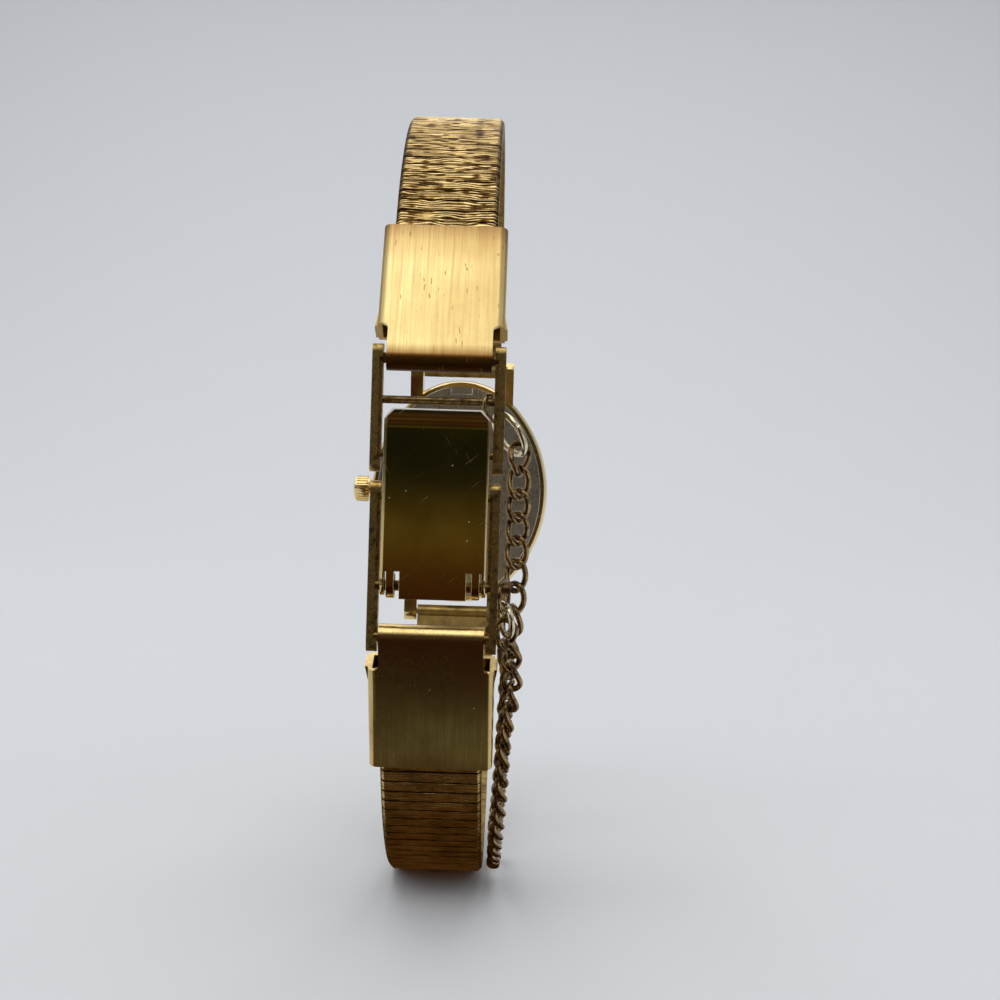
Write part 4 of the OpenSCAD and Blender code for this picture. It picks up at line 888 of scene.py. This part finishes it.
# A link's middle line is an ellipse that rises and falls twice on its way round
t = np.linspace(0, 2 * np.pi, loop_steps, endpoint=False)[:, None]
for node in ("chain_top", "chain_inner", "chain_outer"):
    tubes = []
    for points in solids_of(node):
        middle, long, wide, thin = own_frame(points)
        line = (middle + link_half_w * np.sin(t) * wide + link_half_l * np.cos(t) * long
                + link_lift * np.sin(2 * t) * thin)
        way = (link_half_w * np.cos(t) * wide - link_half_l * np.sin(t) * long
               + 2 * link_lift * np.cos(2 * t) * thin)
        tubes.append(wire(line, way, wire_r, wire_sides))
    add_wire(node + "_links", torus_mesh(node, np.stack(tubes)), chain_bronze,
             node)

# Jump rings and their holders. A jump ring is cut from a coil of bright gilt wire and closed, so
# a fine slit shows where its ends meet. Finer wire holds the rings on the cross bar and lid pin.
ring_slit = 0.00005
ring_wire_d = 0.0005
pin_ring_wire_d = 0.0003
ring_steps = 64
ring_sides = 16
ring_gold = metal("bright_gold", (0.86, 0.78, 0.56), (0.45, 0.36, 0.2), 0.14, 0.3,
                  cloud=900.0, speck=6000.0, specks=0.4, grit=0.002)
for node, wire_d, paint, slot, slit_at in (
        ("upper_jump_ring", ring_wire_d, ring_gold, "bright_gold", (1.0, -1.2, 0.9)),
        ("lower_jump_ring", ring_wire_d, ring_gold, "bright_gold", (-0.5, -1.0, 0.6)),
        ("pin_ring", pin_ring_wire_d, chain_bronze, "antique_bronze", (0.6, -1.0, -0.8))):
    points = solids_of(node)[0]
    middle = (points.max(axis=0) + points.min(axis=0)) / 2
    spread = points - middle
    _, ways = np.linalg.eigh(spread.T @ spread)
    ring_r = np.linalg.norm(spread, axis=1).max() - wire_d / 2
    slit_way = np.array(slit_at) @ ways
    half_slit = ring_slit / (2 * ring_r)
    turn = (math.atan2(slit_way[1], slit_way[2])
            + np.linspace(half_slit, 2 * np.pi - half_slit, ring_steps)[:, None])
    line = middle + ring_r * (np.cos(turn) * ways[:, 2] + np.sin(turn) * ways[:, 1])
    way = -np.sin(turn) * ways[:, 2] + np.cos(turn) * ways[:, 1]
    mesh = skin_mesh(node, wire(line, way, wire_d / 2, ring_sides)[None])
    add_wire(node + "_wire", mesh, paint, node)
paint_node("bar_link", chain_bronze)

# Case. An oval gold case middle and bezel, polished, with a fluted crown, and a brushed steel
# back pressed on from the wrist's side.
fine_sharp = 30
case_gold = metal("case_gold", (0.84, 0.64, 0.28), (0.72, 0.53, 0.21), 0.13, 0.19,
                  cloud=420.0, speck=5000.0, specks=0.5, grit=0.0010, scratch=0.002)
steel = metal("steel", (0.60, 0.59, 0.57), (0.50, 0.49, 0.47), 0.20, 0.27, cloud=700.0,
              speck=5000.0, specks=0.5, streak=0.006, streak_rough=0.12, streak_tone=0.5,
              scratch=0.002)
for node, paint, slot, edge in (
        ("case_middle", case_gold, "case_gold", 9e-5), ("bezel", case_gold, "case_gold", 0),
        ("case_back", steel, "steel", 6e-5), ("crown", case_gold, "case_gold", 3e-5)):
    finished(node, paint, edge, fine_sharp)

# Dial, crystal and hands. The dial is lacquered brass with a brushed sunray and a printed minute
# track. The markers and hands are thin metal, and a clear domed crystal sits over them.
hand_metal = metal("dark_hands", (0.10, 0.075, 0.05), (0.05, 0.04, 0.03), 0.18, 0.3)
marker_gold = metal("marker_gold", (0.86, 0.66, 0.3), (0.6, 0.44, 0.18), 0.12, 0.25)
glass, tree, output = material("crystal_glass")
tree.links.new(place(tree, "BsdfPrincipled", {
    "Base Color": (0.97, 0.985, 0.98, 1), "Roughness": 0.01, "Transmission Weight": 1.0,
    "IOR": 1.45}).outputs[0], output.inputs[0])
for node, paint, slot, edge in (
        ("hour_markers", marker_gold, "case_gold", 2.5e-5), ("crystal", glass, "crystal_glass", 0),
        ("hour_hand", hand_metal, "dark_hands", 2e-5),
        ("minute_hand", hand_metal, "dark_hands", 2e-5)):
    finished(node, paint, edge, fine_sharp)

track_in = 0.832
track_out = 0.864
track_line = 0.0022
stroke_width = 0.11
dial_ink = (0.06, 0.04, 0.025, 1)
dial_low, dial_high = np.array(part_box("dial")[0]), np.array(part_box("dial")[1])
dial_middle = (dial_low + dial_high) / 2
dial_half = (dial_high - dial_low) / 2
# The sunray is a noise of direction only, and the track has 60 strokes between two oval lines
sunray, tree, output = material("dial_champagne")
at = place(tree, "TexCoord").outputs["Object"]
from_middle = place(tree, "VectorMath", {0: at, 1: tuple(dial_middle)}, operation="SUBTRACT")
flat = place(tree, "VectorMath", {0: from_middle.outputs[0], 1: (1, 0, 1)},
             operation="MULTIPLY").outputs[0]
ray = place(tree, "VectorMath", {0: flat}, operation="NORMALIZE").outputs[0]
rays = noise(tree, ray, 60.0, 6.0, 0.8)
dial_colour = ramp(tree, rays, [(0.3, (0.62, 0.50, 0.31)), (0.5, (0.78, 0.66, 0.44)),
                                (0.7, (0.90, 0.80, 0.60))])
oval_at = place(tree, "VectorMath", {0: flat, 1: (1 / dial_half[0], 0, 1 / dial_half[2])},
                operation="MULTIPLY").outputs[0]
oval_r = place(tree, "VectorMath", {0: oval_at}, operation="LENGTH").outputs["Value"]
flat_parts = place(tree, "SeparateXYZ", {0: flat}).outputs
angle = math_of(tree, "ARCTAN2", flat_parts["X"], flat_parts["Z"])
# Half a minute more puts each stroke where the fraction of the minute is a half
minute = math_of(tree, "MULTIPLY_ADD", angle, 30 / math.pi, 60.5)
stroke = math_of(tree, "COMPARE", math_of(tree, "FRACT", minute), 0.5, stroke_width / 2)
in_track = math_of(tree, "COMPARE", oval_r, (track_in + track_out) / 2,
                   (track_out - track_in) / 2)
inner_line = math_of(tree, "COMPARE", oval_r, track_in, track_line / 2)
outer_line = math_of(tree, "COMPARE", oval_r, track_out, track_line / 2)
printed = math_of(tree, "MAXIMUM", math_of(tree, "MULTIPLY", stroke, in_track),
                  math_of(tree, "MAXIMUM", inner_line, outer_line))
dial_bump = place(tree, "Bump", {"Height": rays, "Strength": 0.15, "Distance": 2e-5})
shader = place(tree, "BsdfPrincipled", {
    "Base Color": mix(tree, printed, dial_colour, dial_ink), "Metallic": 0.75,
    "Roughness": remap(tree, rays, 0.0, 1.0, 0.22, 0.5), "Coat Weight": 0.4,
    "Coat Roughness": 0.05, "Normal": dial_bump.outputs["Normal"]})
tree.links.new(shader.outputs[0], output.inputs[0])
paint_node("dial", sunray)

# Movement. A small hand-wound one on gilt brass plates, with gilt wheels, steel screws, fork,
# escape wheel and keyless works, and a blued hairspring. The two spring bars are steel too.
gilt = metal("gilt_brass", (0.82, 0.62, 0.28), (0.6, 0.43, 0.17), 0.26, 0.4, cloud=700.0,
             speck=6000.0, specks=0.2, grit=0.004)
blued = metal("blued_steel", (0.03, 0.06, 0.22), (0.02, 0.03, 0.09), 0.2, 0.3)
for node in ("movement_ring", "main_plate", "train_bridge", "balance_cock", "barrel",
             "centre_wheel", "third_wheel", "fourth_wheel", "balance_wheel", "minute_wheel",
             "hour_wheel"):
    paint_node(node, gilt)
for node in ("movement_screws", "spring_bars", "escape_wheel", "pallet_fork", "winding_stem",
             "setting_lever"):
    paint_node(node, steel)
paint_node("hairspring", blued)
